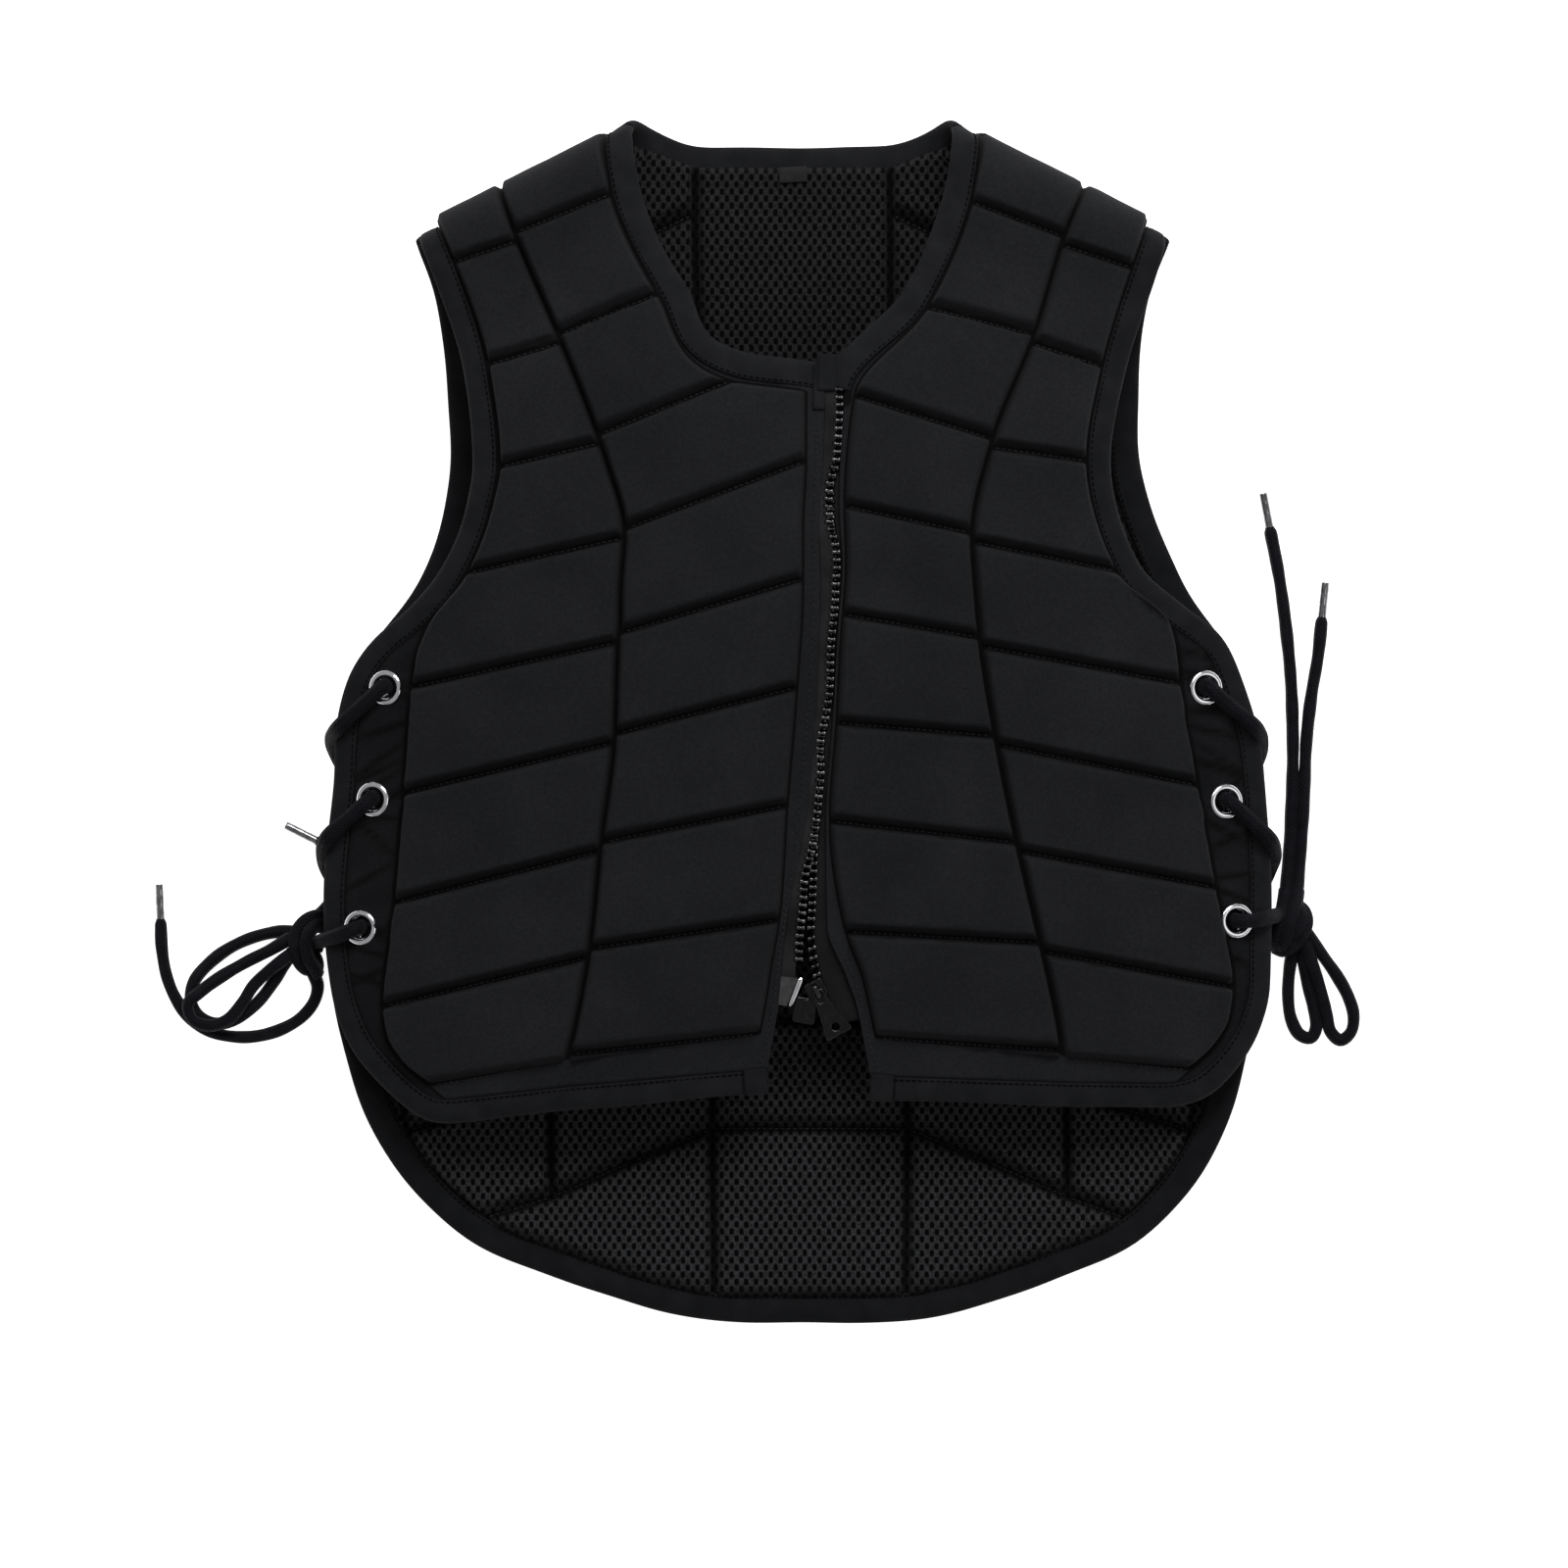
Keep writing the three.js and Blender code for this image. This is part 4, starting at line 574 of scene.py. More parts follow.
def outward(middle, x, y, facing):
    step = 0.4
    across = middle(x + step, y) - middle(x - step, y)
    along = middle(x, y + step) - middle(x, y - step)
    return unit(np.cross(across, along)) * facing


def in_frame(points):
    """Pattern millimetres to the vest's frame in metres."""
    return (points - np.array([*VEST_MIDDLE, 0])) * MM


EYELETS = {
    "front_left": [(-209, 19), (-215.5, -38), (-222, -103.5)],
    "front_right": [(208.5, 19), (219, -39), (224.5, -100)],
    "back_left": [(-207, 8), (-214, -50), (-216.5, -110)],
    "back_right": [(210, 8), (218, -50), (222, -110)],
}
EYELET_CUT = 6.3
GROOVE_FLOOR = 0.7
FRONT_SLOPES = (2.6, 4.6, 2.6)
EASED_FROM = 0.72
SEAM_WOBBLE = 0.45
SEAM_SHADE_TO, SEAM_SHADE_FADE, FOOT_SHADE = 2.4, 1.1, 0.45
EDGE_SHADE, EDGE_SHADE_TO, EDGE_SHADE_FADE = 0.9, 4.4, 1.3
FLAP_SHADE, CREASE_SIDE_SHADE, FLAP_SEAM_SHADE, FLAP_SEAM_TO = 0.5, 0.5, 0.95, 2.2
FLAP_EASE = 8
# The first of the next three: how far the painted shade in seams and edges can darken a tone.
PAINTED_SHADE_DEPTH, SHOULDER_SHADE, SHOULDER_SHADE_RISE = 0.85, 0.45, 1.4
CLOTH_WAVES, CLOTH_WAVE_LENGTH = 7, (26, 80)
PUCKERS, PUCKER_RISE, PUCKER_RADIUS, PUCKER_WIDTH = 4, 1.2, 17, 9
CREASES, CREASE_LEAN, CREASE_SPREAD, CREASE_RISE = 6, 0.75, 26, (0.8, 1.3)
CREASE_WIDTH, CREASE_REACH_X, CREASE_REACH_Y = 2.1, 18, 22
CREASE_SHADE_BESIDE, CREASE_SHADE_WIDTH = 2.4, 1.5
STEP_AT_PRINCESS = 2.2
FRONT_ROW_STEP, FRONT_LINE_STEP = 2.4, 4.5
FRONT_FINE_STEPS = [0, 0.5, 1.0, 1.6, 2.3, 3.1, 4.1, 5.3, 6.8, 8.6]
FRONT_NECK_ROW = 3.1
LEAST_HEIGHT = 0.05


def spaced(length, fine, step):
    """Places from 0 to length: close together at both ends, and step apart between."""
    near = [d for d in fine if d < length / 2]
    room = length - 2 * near[-1]
    middle = np.linspace(near[-1], length - near[-1], max(1, int(round(room / step))) + 1)[1:-1]
    return np.concatenate([near, middle, length - np.array(near[::-1])]) / length


def uneven_cloth(x, y, seed):
    """Slow rise and fall of cloth over foam, mostly within -1 and 1."""
    chance = np.random.default_rng(seed)
    total = np.zeros_like(x)
    for _ in range(CLOTH_WAVES):
        turn = chance.uniform(0, 2 * math.pi)
        wave = chance.uniform(*CLOTH_WAVE_LENGTH)
        start = chance.uniform(0, 2 * math.pi)
        total += np.sin((x * math.cos(turn) + y * math.sin(turn)) * 2 * math.pi / wave + start)
    return total / 4


def flap_folds(x, y, eyelets, seed):
    """Small folds in a thin flap where the eyelets pull on it, in mm, and painted shade, 0 to 1, in a band
    along one side of each crease.
    """
    chance = np.random.default_rng(seed)
    total = np.zeros_like(x)
    crease_shade = np.zeros_like(x)
    for at_x, at_y in eyelets:
        away = np.hypot(x - at_x, y - at_y)
        turn = np.arctan2(y - at_y, x - at_x)
        start = chance.uniform(0, 2 * math.pi)
        pucker = np.exp(-((away - PUCKER_RADIUS) / PUCKER_WIDTH) ** 2)
        total += PUCKER_RISE * pucker * np.sin(PUCKERS * turn + start + away / PUCKER_WIDTH)
        for _ in range(CREASES):
            lean = chance.uniform(-CREASE_LEAN, CREASE_LEAN)
            shift = chance.uniform(-CREASE_SPREAD, CREASE_SPREAD)
            crease = (y - at_y - shift) * math.cos(lean) + (x - at_x) * math.sin(lean)
            around = np.exp(-((x - at_x) / CREASE_REACH_X) ** 2)
            around = around * np.exp(-((y - at_y - shift) / CREASE_REACH_Y) ** 2)
            total += chance.uniform(*CREASE_RISE) * np.exp(-(crease / CREASE_WIDTH) ** 2) * around
            # Painted shade in a band along one side of each crease.
            shade_band = np.exp(-((crease + CREASE_SHADE_BESIDE) / CREASE_SHADE_WIDTH) ** 2)
            crease_shade = np.maximum(crease_shade, shade_band * around)
    return total, crease_shade


def distance_across(places, line_at_row, heading_at_row):
    offset = places - line_at_row
    return np.abs(offset[..., 0] * heading_at_row[..., 1] - offset[..., 1] * heading_at_row[..., 0])


def distance_to_runs(places, corners):
    """Distance to the nearest of the straight runs between these corners."""
    best = np.full(places.shape[:-1], np.inf)
    for start, end in zip(corners, corners[1:]):
        run = end - start
        share = np.clip(((places - start) @ run) / (run @ run), 0, 1)
        best = np.minimum(best, np.linalg.norm(places - start - share[..., None] * run, axis=-1))
    return best


class Quilt:
    """A quilted panel laid out on its pattern: seam lines from shoulder to hem, and rows sewn across them."""

    def __init__(self, lines, middle, facing, pads, slopes, row_step, line_step, fine):
        self.lines, self.middle, self.facing, self.pads = lines, middle, facing, pads
        self.above, self.foot, self.side = slopes
        marks = np.arange(QUILT_ROWS + 1.0)
        lengths = np.mean([np.linalg.norm(np.diff(line(marks), axis=0), axis=1) for line in lines], axis=0)
        rows = [k + spaced(length, fine, row_step)[:-1] for k, length in enumerate(lengths)]
        self.r = np.concatenate([*rows, [QUILT_ROWS]])
        self.at_row = [line(self.r) for line in lines]
        self.heading = [unit(line(self.r + 0.02) - line(self.r - 0.02)) for line in lines]
        places, span_of = [], []
        for span, (start, end) in enumerate(zip(self.at_row, self.at_row[1:])):
            share = spaced(np.linalg.norm(end - start, axis=1).max(), fine, line_step)
            share = share if span == len(lines) - 2 else share[:-1]
            places.append(start[:, None] + share[None, :, None] * (end - start)[:, None])
            span_of += [span] * len(share)
        self.places = np.concatenate(places, axis=1)
        self.span_of = np.array(span_of)

    def seam_run(self, span, row):
        """Ends of a row of stitching within one span, a little lower on the outer side of a princess seam."""
        pad = self.pads[span]
        ends = []
        for line, shift in ((span, pad.get("left_step", 0)), (span + 1, pad.get("right_step", 0))):
            above, at, below = self.lines[line](np.array([row - 0.05, row, row + 0.05]))
            ends.append(at + unit(below - above) * shift)
        return ends

    def one_pad(self, span, k, rows, here):
        """Rise and painted shade of the pad in one span between rows k and k + 1, at these places."""
        pad = self.pads[span]
        edge, side, shade = (np.zeros(here.shape[:2]) for _ in range(3))
        wobble = SEAM_WOBBLE * uneven_cloth(here[..., 0] * 4, here[..., 1] * 4, 5)
        for end in ("left", "right"):
            if k in pad.get(end + "_gone", ()):
                continue
            line = pad[end]
            d = distance_across(here, self.at_row[line][rows][:, None], self.heading[line][rows][:, None])
            side = np.maximum(side, 1 - (d - GROOVE_FLOOR) / self.side)
            shade = np.maximum(shade, (SEAM_SHADE_TO - d) / SEAM_SHADE_FADE)
        for row in (k, k + 1):
            if row in pad["open_rows"]:
                continue
            start, end = self.seam_run(span, row)
            square = unit(end - start)[::-1] * (1, -1)
            before, after = self.lines[span](np.array([row - 0.2, row + 0.2]))
            d = (here - start) @ (square * np.sign(square @ (after - before)))
            reach = np.where(d > 0, self.above, self.foot)
            edge = np.maximum(edge, 1 - (np.abs(d) + wobble - GROOVE_FLOOR) / reach)
            shade = np.maximum(shade, (SEAM_SHADE_TO - np.abs(d) + wobble) / SEAM_SHADE_FADE)
            # Painted shade on the foot slope below each row, the slope turned away from the head light.
            foot = np.clip(self.foot + GROOVE_FLOOR - np.abs(d) + wobble, 0, 1) * (d < 0)
            shade = np.maximum(shade, FOOT_SHADE * foot)
        if k == 0:
            if "rim" in pad:
                from_rim = distance_to_runs(here, pad["rim"])
                edge = np.maximum(edge, 1 - (from_rim - GROOVE_FLOOR) / self.above)
            over_shoulder = np.clip(SHOULDER_SHADE + SHOULDER_SHADE_RISE * self.r[rows], 0, 1)[:, None]
            side, shade = side * over_shoulder, shade * over_shoulder
        near = np.clip((np.clip(edge, 0, 1) ** 3 + np.clip(side, 0, 1) ** 3) ** (1 / 3), 0, 1)
        slope = 1 - near - np.maximum(1 - near - EASED_FROM, 0) ** 2 / (2 * (1 - EASED_FROM))
        return slope / (1 - (1 - EASED_FROM) / 2), np.clip(shade, 0, 1)

    def pad_rise(self):
        """How far each place stands from groove floor, 0, to full pad, 1, and how much painted shade the
        seams put on it.
        """
        rise = np.zeros(self.places.shape[:2])
        dark = np.zeros(self.places.shape[:2])
        row_of = np.clip(self.r.astype(int), 0, QUILT_ROWS - 1)
        for span, pad in enumerate(self.pads):
            if pad is None:
                continue
            columns = np.where(self.span_of == span)[0]
            if self.pads[span + 1] is None:
                columns = np.append(columns, columns[-1] + 1)
            for k in pad["rows"]:
                last = k + 1 not in pad["rows"]
                rows = np.where((row_of == k) | (last & (self.r == k + 1)))[0]
                here = np.ix_(rows, columns)
                rise[here], dark[here] = self.one_pad(span, k, rows, self.places[here])
        return rise, dark

    def edge_shade(self, crease_shade, neck_row):
        """Painted shade on the cloth: a shadow beside the bindings, even shade over the thin side flaps with
        more beside each crease, and a dark line where the flaps meet the pads.
        """
        dark = np.zeros(self.places.shape[:2])
        flap = (self.span_of == 0) | ((self.span_of == len(self.pads) - 1) & (self.facing < 0))
        down = np.linspace(0, QUILT_ROWS, 60)
        hem = [line(np.array([QUILT_ROWS]))[0] for line in self.lines[1:]]
        for bound in ([*self.lines[0](down), *hem], self.lines[-1](np.linspace(0, neck_row, 40))):
            beside = distance_to_runs(self.places, np.array(bound))
            dark = np.maximum(dark, EDGE_SHADE * np.clip((EDGE_SHADE_TO - beside) / EDGE_SHADE_FADE, 0, 1))
        # Painted shade over the side flaps, deeper beside their creases.
        dark = np.maximum(dark, (FLAP_SHADE + CREASE_SIDE_SHADE * crease_shade) * flap)
        for line in (1, -2):
            beside = distance_to_runs(self.places, self.lines[line](down))
            dark = np.maximum(dark, FLAP_SEAM_SHADE * flap * np.clip(FLAP_SEAM_TO - beside, 0, 1))
        return dark

    def build(self, name, finishes, seed, eyelets, neck_row):
        """The panel's mesh: cloth face, lining face and rim, with round holes where the eyelets go."""
        x, y = self.places[..., 0], self.places[..., 1]
        rise, dark = self.pad_rise()
        folds, crease_shade = flap_folds(x, y, eyelets, seed)
        dark = np.maximum(dark, self.edge_shade(crease_shade, neck_row))
        half = SEAM_HALF + (PAD_HALF - SEAM_HALF) * rise + PAD_UNEVEN * rise * uneven_cloth(x, y, seed)
        half[:, [0, -1]] *= RIM_SHARE
        half[-1] *= RIM_SHARE
        normal = outward(self.middle, x, y, self.facing)
        from_edge = np.minimum(np.linalg.norm(self.places - self.at_row[0][:, None], axis=-1),
                               np.linalg.norm(self.places - self.at_row[-1][:, None], axis=-1))
        folds = folds * np.clip(from_edge / FLAP_EASE, 0, 1) * (1 - rise)
        centre = self.middle(x, y) + normal * folds[..., None]
        down, across = half.shape
        points = np.concatenate([(centre + normal * half[..., None]).reshape(-1, 3),
                                 (centre - normal * half[..., None]).reshape(-1, 3)])
        flat = np.tile(np.stack([x, y], -1).reshape(-1, 2), (2, 1))
        keep = np.ones((down - 1, across - 1), bool)
        mid_x = (x[:-1, :-1] + x[1:, 1:] + x[:-1, 1:] + x[1:, :-1]) / 4
        mid_y = (y[:-1, :-1] + y[1:, 1:] + y[:-1, 1:] + y[1:, :-1]) / 4
        for at_x, at_y in eyelets:
            keep &= np.hypot(mid_x - at_x, mid_y - at_y) > EYELET_CUT
        i, j = np.where(keep)
        a = i * across + j
        quads = np.stack([a, a + 1, a + across + 1, a + across], -1)
        face = down * across
        rim = np.concatenate([np.arange(across), np.arange(1, down) * across + across - 1,
                              (down - 1) * across + np.arange(across - 2, -1, -1),
                              np.arange(down - 2, 0, -1) * across])
        ahead = np.roll(rim, -1)
        walls = np.stack([ahead, rim, rim + face, ahead + face], -1)
        faces = np.concatenate([quads, quads[:, ::-1] + face, walls])
        a, b, c = (points[quads[0][k]] for k in (0, 1, 2))
        if np.dot(np.cross(b - a, c - a), normal[i[0], j[0]]) < 0:
            faces = faces[:, ::-1]
        points[:, 2] = np.maximum(points[:, 2], LEAST_HEIGHT)
        slots = np.concatenate([np.zeros(len(quads)), np.ones(len(quads)), np.zeros(len(walls))])
        piece = make_piece(name, in_frame(points), faces, finishes, flat * MM, slots)
        # Painted shade of the seams, creases, flaps and binding edges, kept on the mesh for the finish to
        # darken its tone by.
        shade = piece.data.attributes.new("painted_shade_and_darkening", "FLOAT", "POINT")
        shade.data.foreach_set("value", np.tile(dark.ravel(), 2).astype(np.float32))
        return piece

    def on_face(self, places, side, sink):
        """Places of the pattern on a panel's groove floor, with the way out of the cloth there."""
        x, y = places[:, 0], places[:, 1]
        out = outward(self.middle, x, y, self.facing) * side
        return in_frame(self.middle(x, y) + out * (SEAM_HALF - sink)), out


def toned_with_painted_shade(finish, tone):
    """Gives the finish its tone, darkened by painted shade at the piece's seams, creases and edges, and
    evenly on each binding.
    """
    drawn = finish.node("Attribute", attribute_name="painted_shade_and_darkening").outputs["Fac"]
    light = finish.number("MULTIPLY_ADD", drawn, -PAINTED_SHADE_DEPTH, 1.0)
    finish.drive("Base Color", finish.colour("MULTIPLY", tone, light))


def thread_wave(finish, axis, pitch):
    """Rise and fall of threads that lie side by side at this pitch: X across the cloth, Y along it."""
    way = finish.node("SeparateXYZ", {"Vector": finish.flat}).outputs[axis]
    return finish.number("SINE", finish.number("MULTIPLY", way, 2 * math.pi / pitch))


CLOTH_THREAD = 0.00055
outer_cloth = Finish("black_napped_cloth", 0.88, Specular_IOR_Level=0.05, Sheen_Weight=0.03,
                     Sheen_Roughness=0.55)
broad = outer_cloth.patches(0.045, (0.0096, 0.0100, 0.0117), (0.0136, 0.0140, 0.0158), 5.0)
nap = outer_cloth.patches(0.0016, grey(0.80), grey(1.18), 4.0)
toned_with_painted_shade(outer_cloth, outer_cloth.colour("MULTIPLY", broad, nap))
weave = outer_cloth.number("MULTIPLY", *(thread_wave(outer_cloth, axis, CLOTH_THREAD) for axis in "XY"))
fuzz = outer_cloth.noise(850.0, 5.0)
outer_cloth.relief(outer_cloth.number("MULTIPLY_ADD", weave, 0.25, fuzz), 0.35, 0.0004)

HOLE_PITCH_ACROSS, HOLE_PITCH_DOWN = 0.0050, 0.0073
NET_PULL = (0.0011, 0.0011, 0)
# What shows through the net's holes: the black layer behind, made darker still by painted shade in the holes.
BEHIND_NET_IN_SHADE = (0.0007, 0.0007, 0.0008)
mesh_lining = Finish("black_spacer_mesh", 0.8, Specular_IOR_Level=0.04, Sheen_Weight=0.03,
                     Sheen_Roughness=0.5)
drift = mesh_lining.node("TexNoise", {"Vector": mesh_lining.place, "Scale": 60.0, "Detail": 2.0})
pulled = mesh_lining.colour("MULTIPLY_ADD", drift.outputs["Color"], NET_PULL, mesh_lining.flat)
net_flat = mesh_lining.node("SeparateXYZ", {"Vector": pulled}).outputs


def net_thread(sign):
    """One set of slanting threads of the net: 1 on a thread's back, 0 midway between two."""
    down = mesh_lining.number("MULTIPLY", net_flat["Y"], sign * 2 * math.pi / HOLE_PITCH_DOWN)
    both = mesh_lining.number("MULTIPLY_ADD", net_flat["X"], 2 * math.pi / HOLE_PITCH_ACROSS, down)
    return mesh_lining.ranged(mesh_lining.number("COSINE", both), span=(1.0, -1.0))


net = mesh_lining.number("ADD", net_thread(1), net_thread(-1))
solid = mesh_lining.ranged(net, span=(0.52, 1.16), interpolation_type="SMOOTHSTEP")
yarn = mesh_lining.patches(0.0011, (0.011, 0.0111, 0.0120), (0.038, 0.0386, 0.0410))
yarn = mesh_lining.colour("MULTIPLY_ADD", yarn, solid, BEHIND_NET_IN_SHADE)
# Painted shade: the lining is made darker towards the neck, where the fronts shade it.
up_the_back = mesh_lining.node("SeparateXYZ", {"Vector": mesh_lining.place}).outputs["Y"]
painted_neck_shade = mesh_lining.ranged(up_the_back, span=(-0.1, 0.16), onto=(1.0, 0.58))
toned_with_painted_shade(mesh_lining, mesh_lining.colour("MULTIPLY", yarn, painted_neck_shade))
mesh_lining.relief(solid, 0.8, 0.0006)


def table_line(table, column):
    return lambda rows: smooth_through(table["row"], table[column], rows)


front_quilts = {}
for side, table, seed in (("left", FRONT_LEFT, 11), ("right", FRONT_RIGHT, 23)):
    lines = [table_line(table, column) for column in ("edge", "outer", "princess", "inner", "zip")]
    pads = [None,
            {"left": 1, "right": 2, "rows": range(9), "open_rows": (0,), "right_step": STEP_AT_PRINCESS},
            {"left": 2, "right": 3, "rows": range(9), "open_rows": (0,), "left_step": -STEP_AT_PRINCESS},
            None]
    quilt = Quilt(lines, front_middle, 1, pads, FRONT_SLOPES, FRONT_ROW_STEP, FRONT_LINE_STEP,
                  FRONT_FINE_STEPS)
    panel = quilt.build("quilted_front_" + side, [outer_cloth, mesh_lining], seed, EYELETS["front_" + side],
                        FRONT_NECK_ROW)
    put_on(panel, "vest", "cloth", f"front_{side}_panel")
    front_quilts[side] = quilt


# Back: the same foam in five columns under mesh lining, longer than the fronts and ending in a tail.
# Its pads lie on the floor, and the laces draw its two side flaps up a little.
BACK = {
    "row": list(range(11)),
    "edge": [(-188, 259.1), (-170.5, 209), (-165.5, 137), (-178, 77), (-219, 14), (-225.6, -45),
             (-230, -104), (-220, -165), (-204, -210), (-163, -255), (-152, -260)],
    "outer": [(-185, 260.6), (-167.5, 210), (-162.5, 138), (-173, 78), (-194, 12), (-200, -46),
              (-203, -103), (-205, -161), (-200, -208), (-160, -253), (-146, -263)],
    "side": [(-152, 277.1), (-146, 220), (-141, 145), (-136, 90), (-134, 34), (-131, -20), (-128, -75),
             (-126, -132), (-126, -187), (-125, -242), (-106, -277)],
    "strap": [(-97, 304.6), (-97, 241), (-95, 161), (-92, 106), (-90, 51), (-88, -4), (-86, -59),
              (-85, -115), (-84, -169), (-84, -224), (-74, -288)],
    "spine": [(-52, 287), (-52, 262), (-50, 177), (-48, 122), (-46, 67), (-45, 13), (-44, -42), (-43, -97),
              (-43, -152), (-43, -207), (-42, -295)],
}
SEAM_MIDDLE_X = [-2, -2, -1, 0, 0, 0, 0.5, 3, 6, 7, 7]
EDGE_MIDDLE_X = [-2, -2, -1, 2.8, 0.8, 0, 0.5, 0, 1.2, 4.6, 5.4]
BACK_MIDDLE_Z, SIDE_LIFT, LIFT_FROM, LIFT_TO = 8, 9, 192, 236
BACK_SLOPES = (3.0, 7.2, 4.4)
BACK_ROW_STEP, BACK_LINE_STEP = 2.7, 6.5
BACK_FINE_STEPS = [0, 0.7, 1.5, 2.6, 4.1, 6.2, 9.0]


def back_middle(x, y):
    """Middle of the back's thickness: flat on the floor, rising at the side flaps."""
    lifts = [(np.abs(x) + lag - LIFT_FROM) / (LIFT_TO - LIFT_FROM) for lag in (-6, 0, 6)]
    return roll_over(x, y, BACK_MIDDLE_Z + SIDE_LIFT * np.mean(np.clip(lifts, 0, 1), axis=0), -1)


def mirrored(line, middle_x):
    """A seam line of the left half carried over to the right, about a middle given row by row."""
    def other_side(rows):
        x, y = line(rows).T
        return np.stack([2 * np.interp(rows, range(QUILT_ROWS + 1), middle_x) - x, y], -1)
    return other_side


back_left = [table_line(BACK, column) for column in ("edge", "outer", "side", "strap", "spine")]
back_lines = back_left + [mirrored(line, SEAM_MIDDLE_X) for line in back_left[:1:-1]]
back_lines += [mirrored(line, EDGE_MIDDLE_X) for line in back_left[1::-1]]
neck_rim = [back_lines[k](np.array([0.0]))[0] for k in (3, 4, 5, 6)]
TAIL_ROW = {9}
back_pads = [
    None,
    {"left": 1, "right": 2, "open_rows": (0,), "right_gone": TAIL_ROW},
    {"left": 2, "right": 4, "open_rows": (0,), "left_gone": TAIL_ROW},
    {"left": 2, "right": 4, "open_rows": (0,), "left_gone": TAIL_ROW},
    {"left": 4, "right": 5, "open_rows": (0, 1)},
    {"left": 5, "right": 7, "open_rows": (0,), "right_gone": TAIL_ROW},
    {"left": 5, "right": 7, "open_rows": (0,), "right_gone": TAIL_ROW},
    {"left": 7, "right": 8, "open_rows": (0,), "left_gone": TAIL_ROW},
    None,
]
for span, pad in enumerate(back_pads):
    if pad:
        pad["rows"] = range(10)
        if 2 <= span <= 6:
            pad["rim"] = neck_rim
back_quilt = Quilt(back_lines, back_middle, -1, back_pads, BACK_SLOPES, BACK_ROW_STEP, BACK_LINE_STEP,
                   BACK_FINE_STEPS)
panel = back_quilt.build("quilted_back", [outer_cloth, mesh_lining], 37,
                         EYELETS["back_left"] + EYELETS["back_right"], QUILT_ROWS)
put_on(panel, "vest", "cloth", "back_panel")


# Bindings: black ribbed tape folded over every raw edge and sewn through near its inner edge.
# One runs round each front from shoulder to zip, one round the back, and one round the neck.
FRONT_BINDING, BACK_BINDING, NECK_BINDING = 9.3, 11.6, 10.8
TAPE_OVERLAP, TAPE_HALF_THICK = 2.6, 2.5
TAPE_WANDER, TAPE_PUFF = ((0.1, 0.22), (7, 30)), ((0.03, 0.08), (4, 14))
TUCK_LENGTH, TUCK_RAMP, TUCK_THICKER, TUCK_WIDER = 11.5, 1.6, 0.34, 0.7
TUCK_CREASE, TUCK_CREASE_PAST, TUCK_CREASE_WIDTH = 0.1, 1.5, 1.2
TUCK_SHADE_REACH, TUCK_SHADE_WIDTH = 18, 1.2
LEFT_NECK_ROW, RIGHT_NECK_ROW = 3.2, 3.0
NECK_PEAKS_X, NECK_PEAK_HEIGHT, NECK_PEAK_HALF_WIDTH = (-90, 85), 4, 8
NECK_PEAK_FROM_Y, NECK_PEAK_BLEND = 283, 12

binding_tape = Finish("black_binding_tape", 0.84, Specular_IOR_Level=0.06, Sheen_Weight=0.02,
                      Sheen_Roughness=0.5)
dye = binding_tape.patches(0.012, (0.0082, 0.0085, 0.0097), (0.0128, 0.0131, 0.0147), 4.0)
toned_with_painted_shade(binding_tape, dye)
ribs, slubs = thread_wave(binding_tape, "Y", 0.0011), binding_tape.noise(700.0, 3.0)
binding_tape.relief(binding_tape.number("MULTIPLY_ADD", ribs, 0.4, slubs), 0.4, 0.0003)


def smoothed(values, passes):
    """A run of values with its sharp turns eased; both ends stay."""
    values = np.array(values, float)
    for _ in range(passes):
        values[1:-1] = (values[:-2] + 2 * values[1:-1] + values[2:]) / 4
    return values


def edge_run(stretches, spacing=2.4, passes=6):
    """Line and outward directions along a panel's edge, from (places, middle, facing) stretches, in mm."""
    line, out = [], []
    for places, middle, facing in stretches:
        places = even_steps(np.asarray(places, float), 1.0)
        line.append(middle(places[:, 0], places[:, 1]))
        out.append(outward(middle, places[:, 0], places[:, 1], facing))
    both = even_steps(np.hstack([np.vstack(line), np.vstack(out) * 1e-3]), spacing)
    line, out = smoothed(both[:, :3], passes), unit(smoothed(both[:, 3:], passes))
    along = headings(line)
    out = unit(out - along * np.sum(out * along, axis=1, keepdims=True))
    return line, along, out, np.cross(along, out)


def hand_waver(chance, way, rise, length):
    """Four slow waves along a seam guided by hand, each of a rise and a length within these limits."""
    waves = []
    for _ in range(4):
        high = chance.uniform(*rise)
        waves.append(high * np.sin(way / chance.uniform(*length) + chance.uniform(0, 6)))
    return sum(waves)


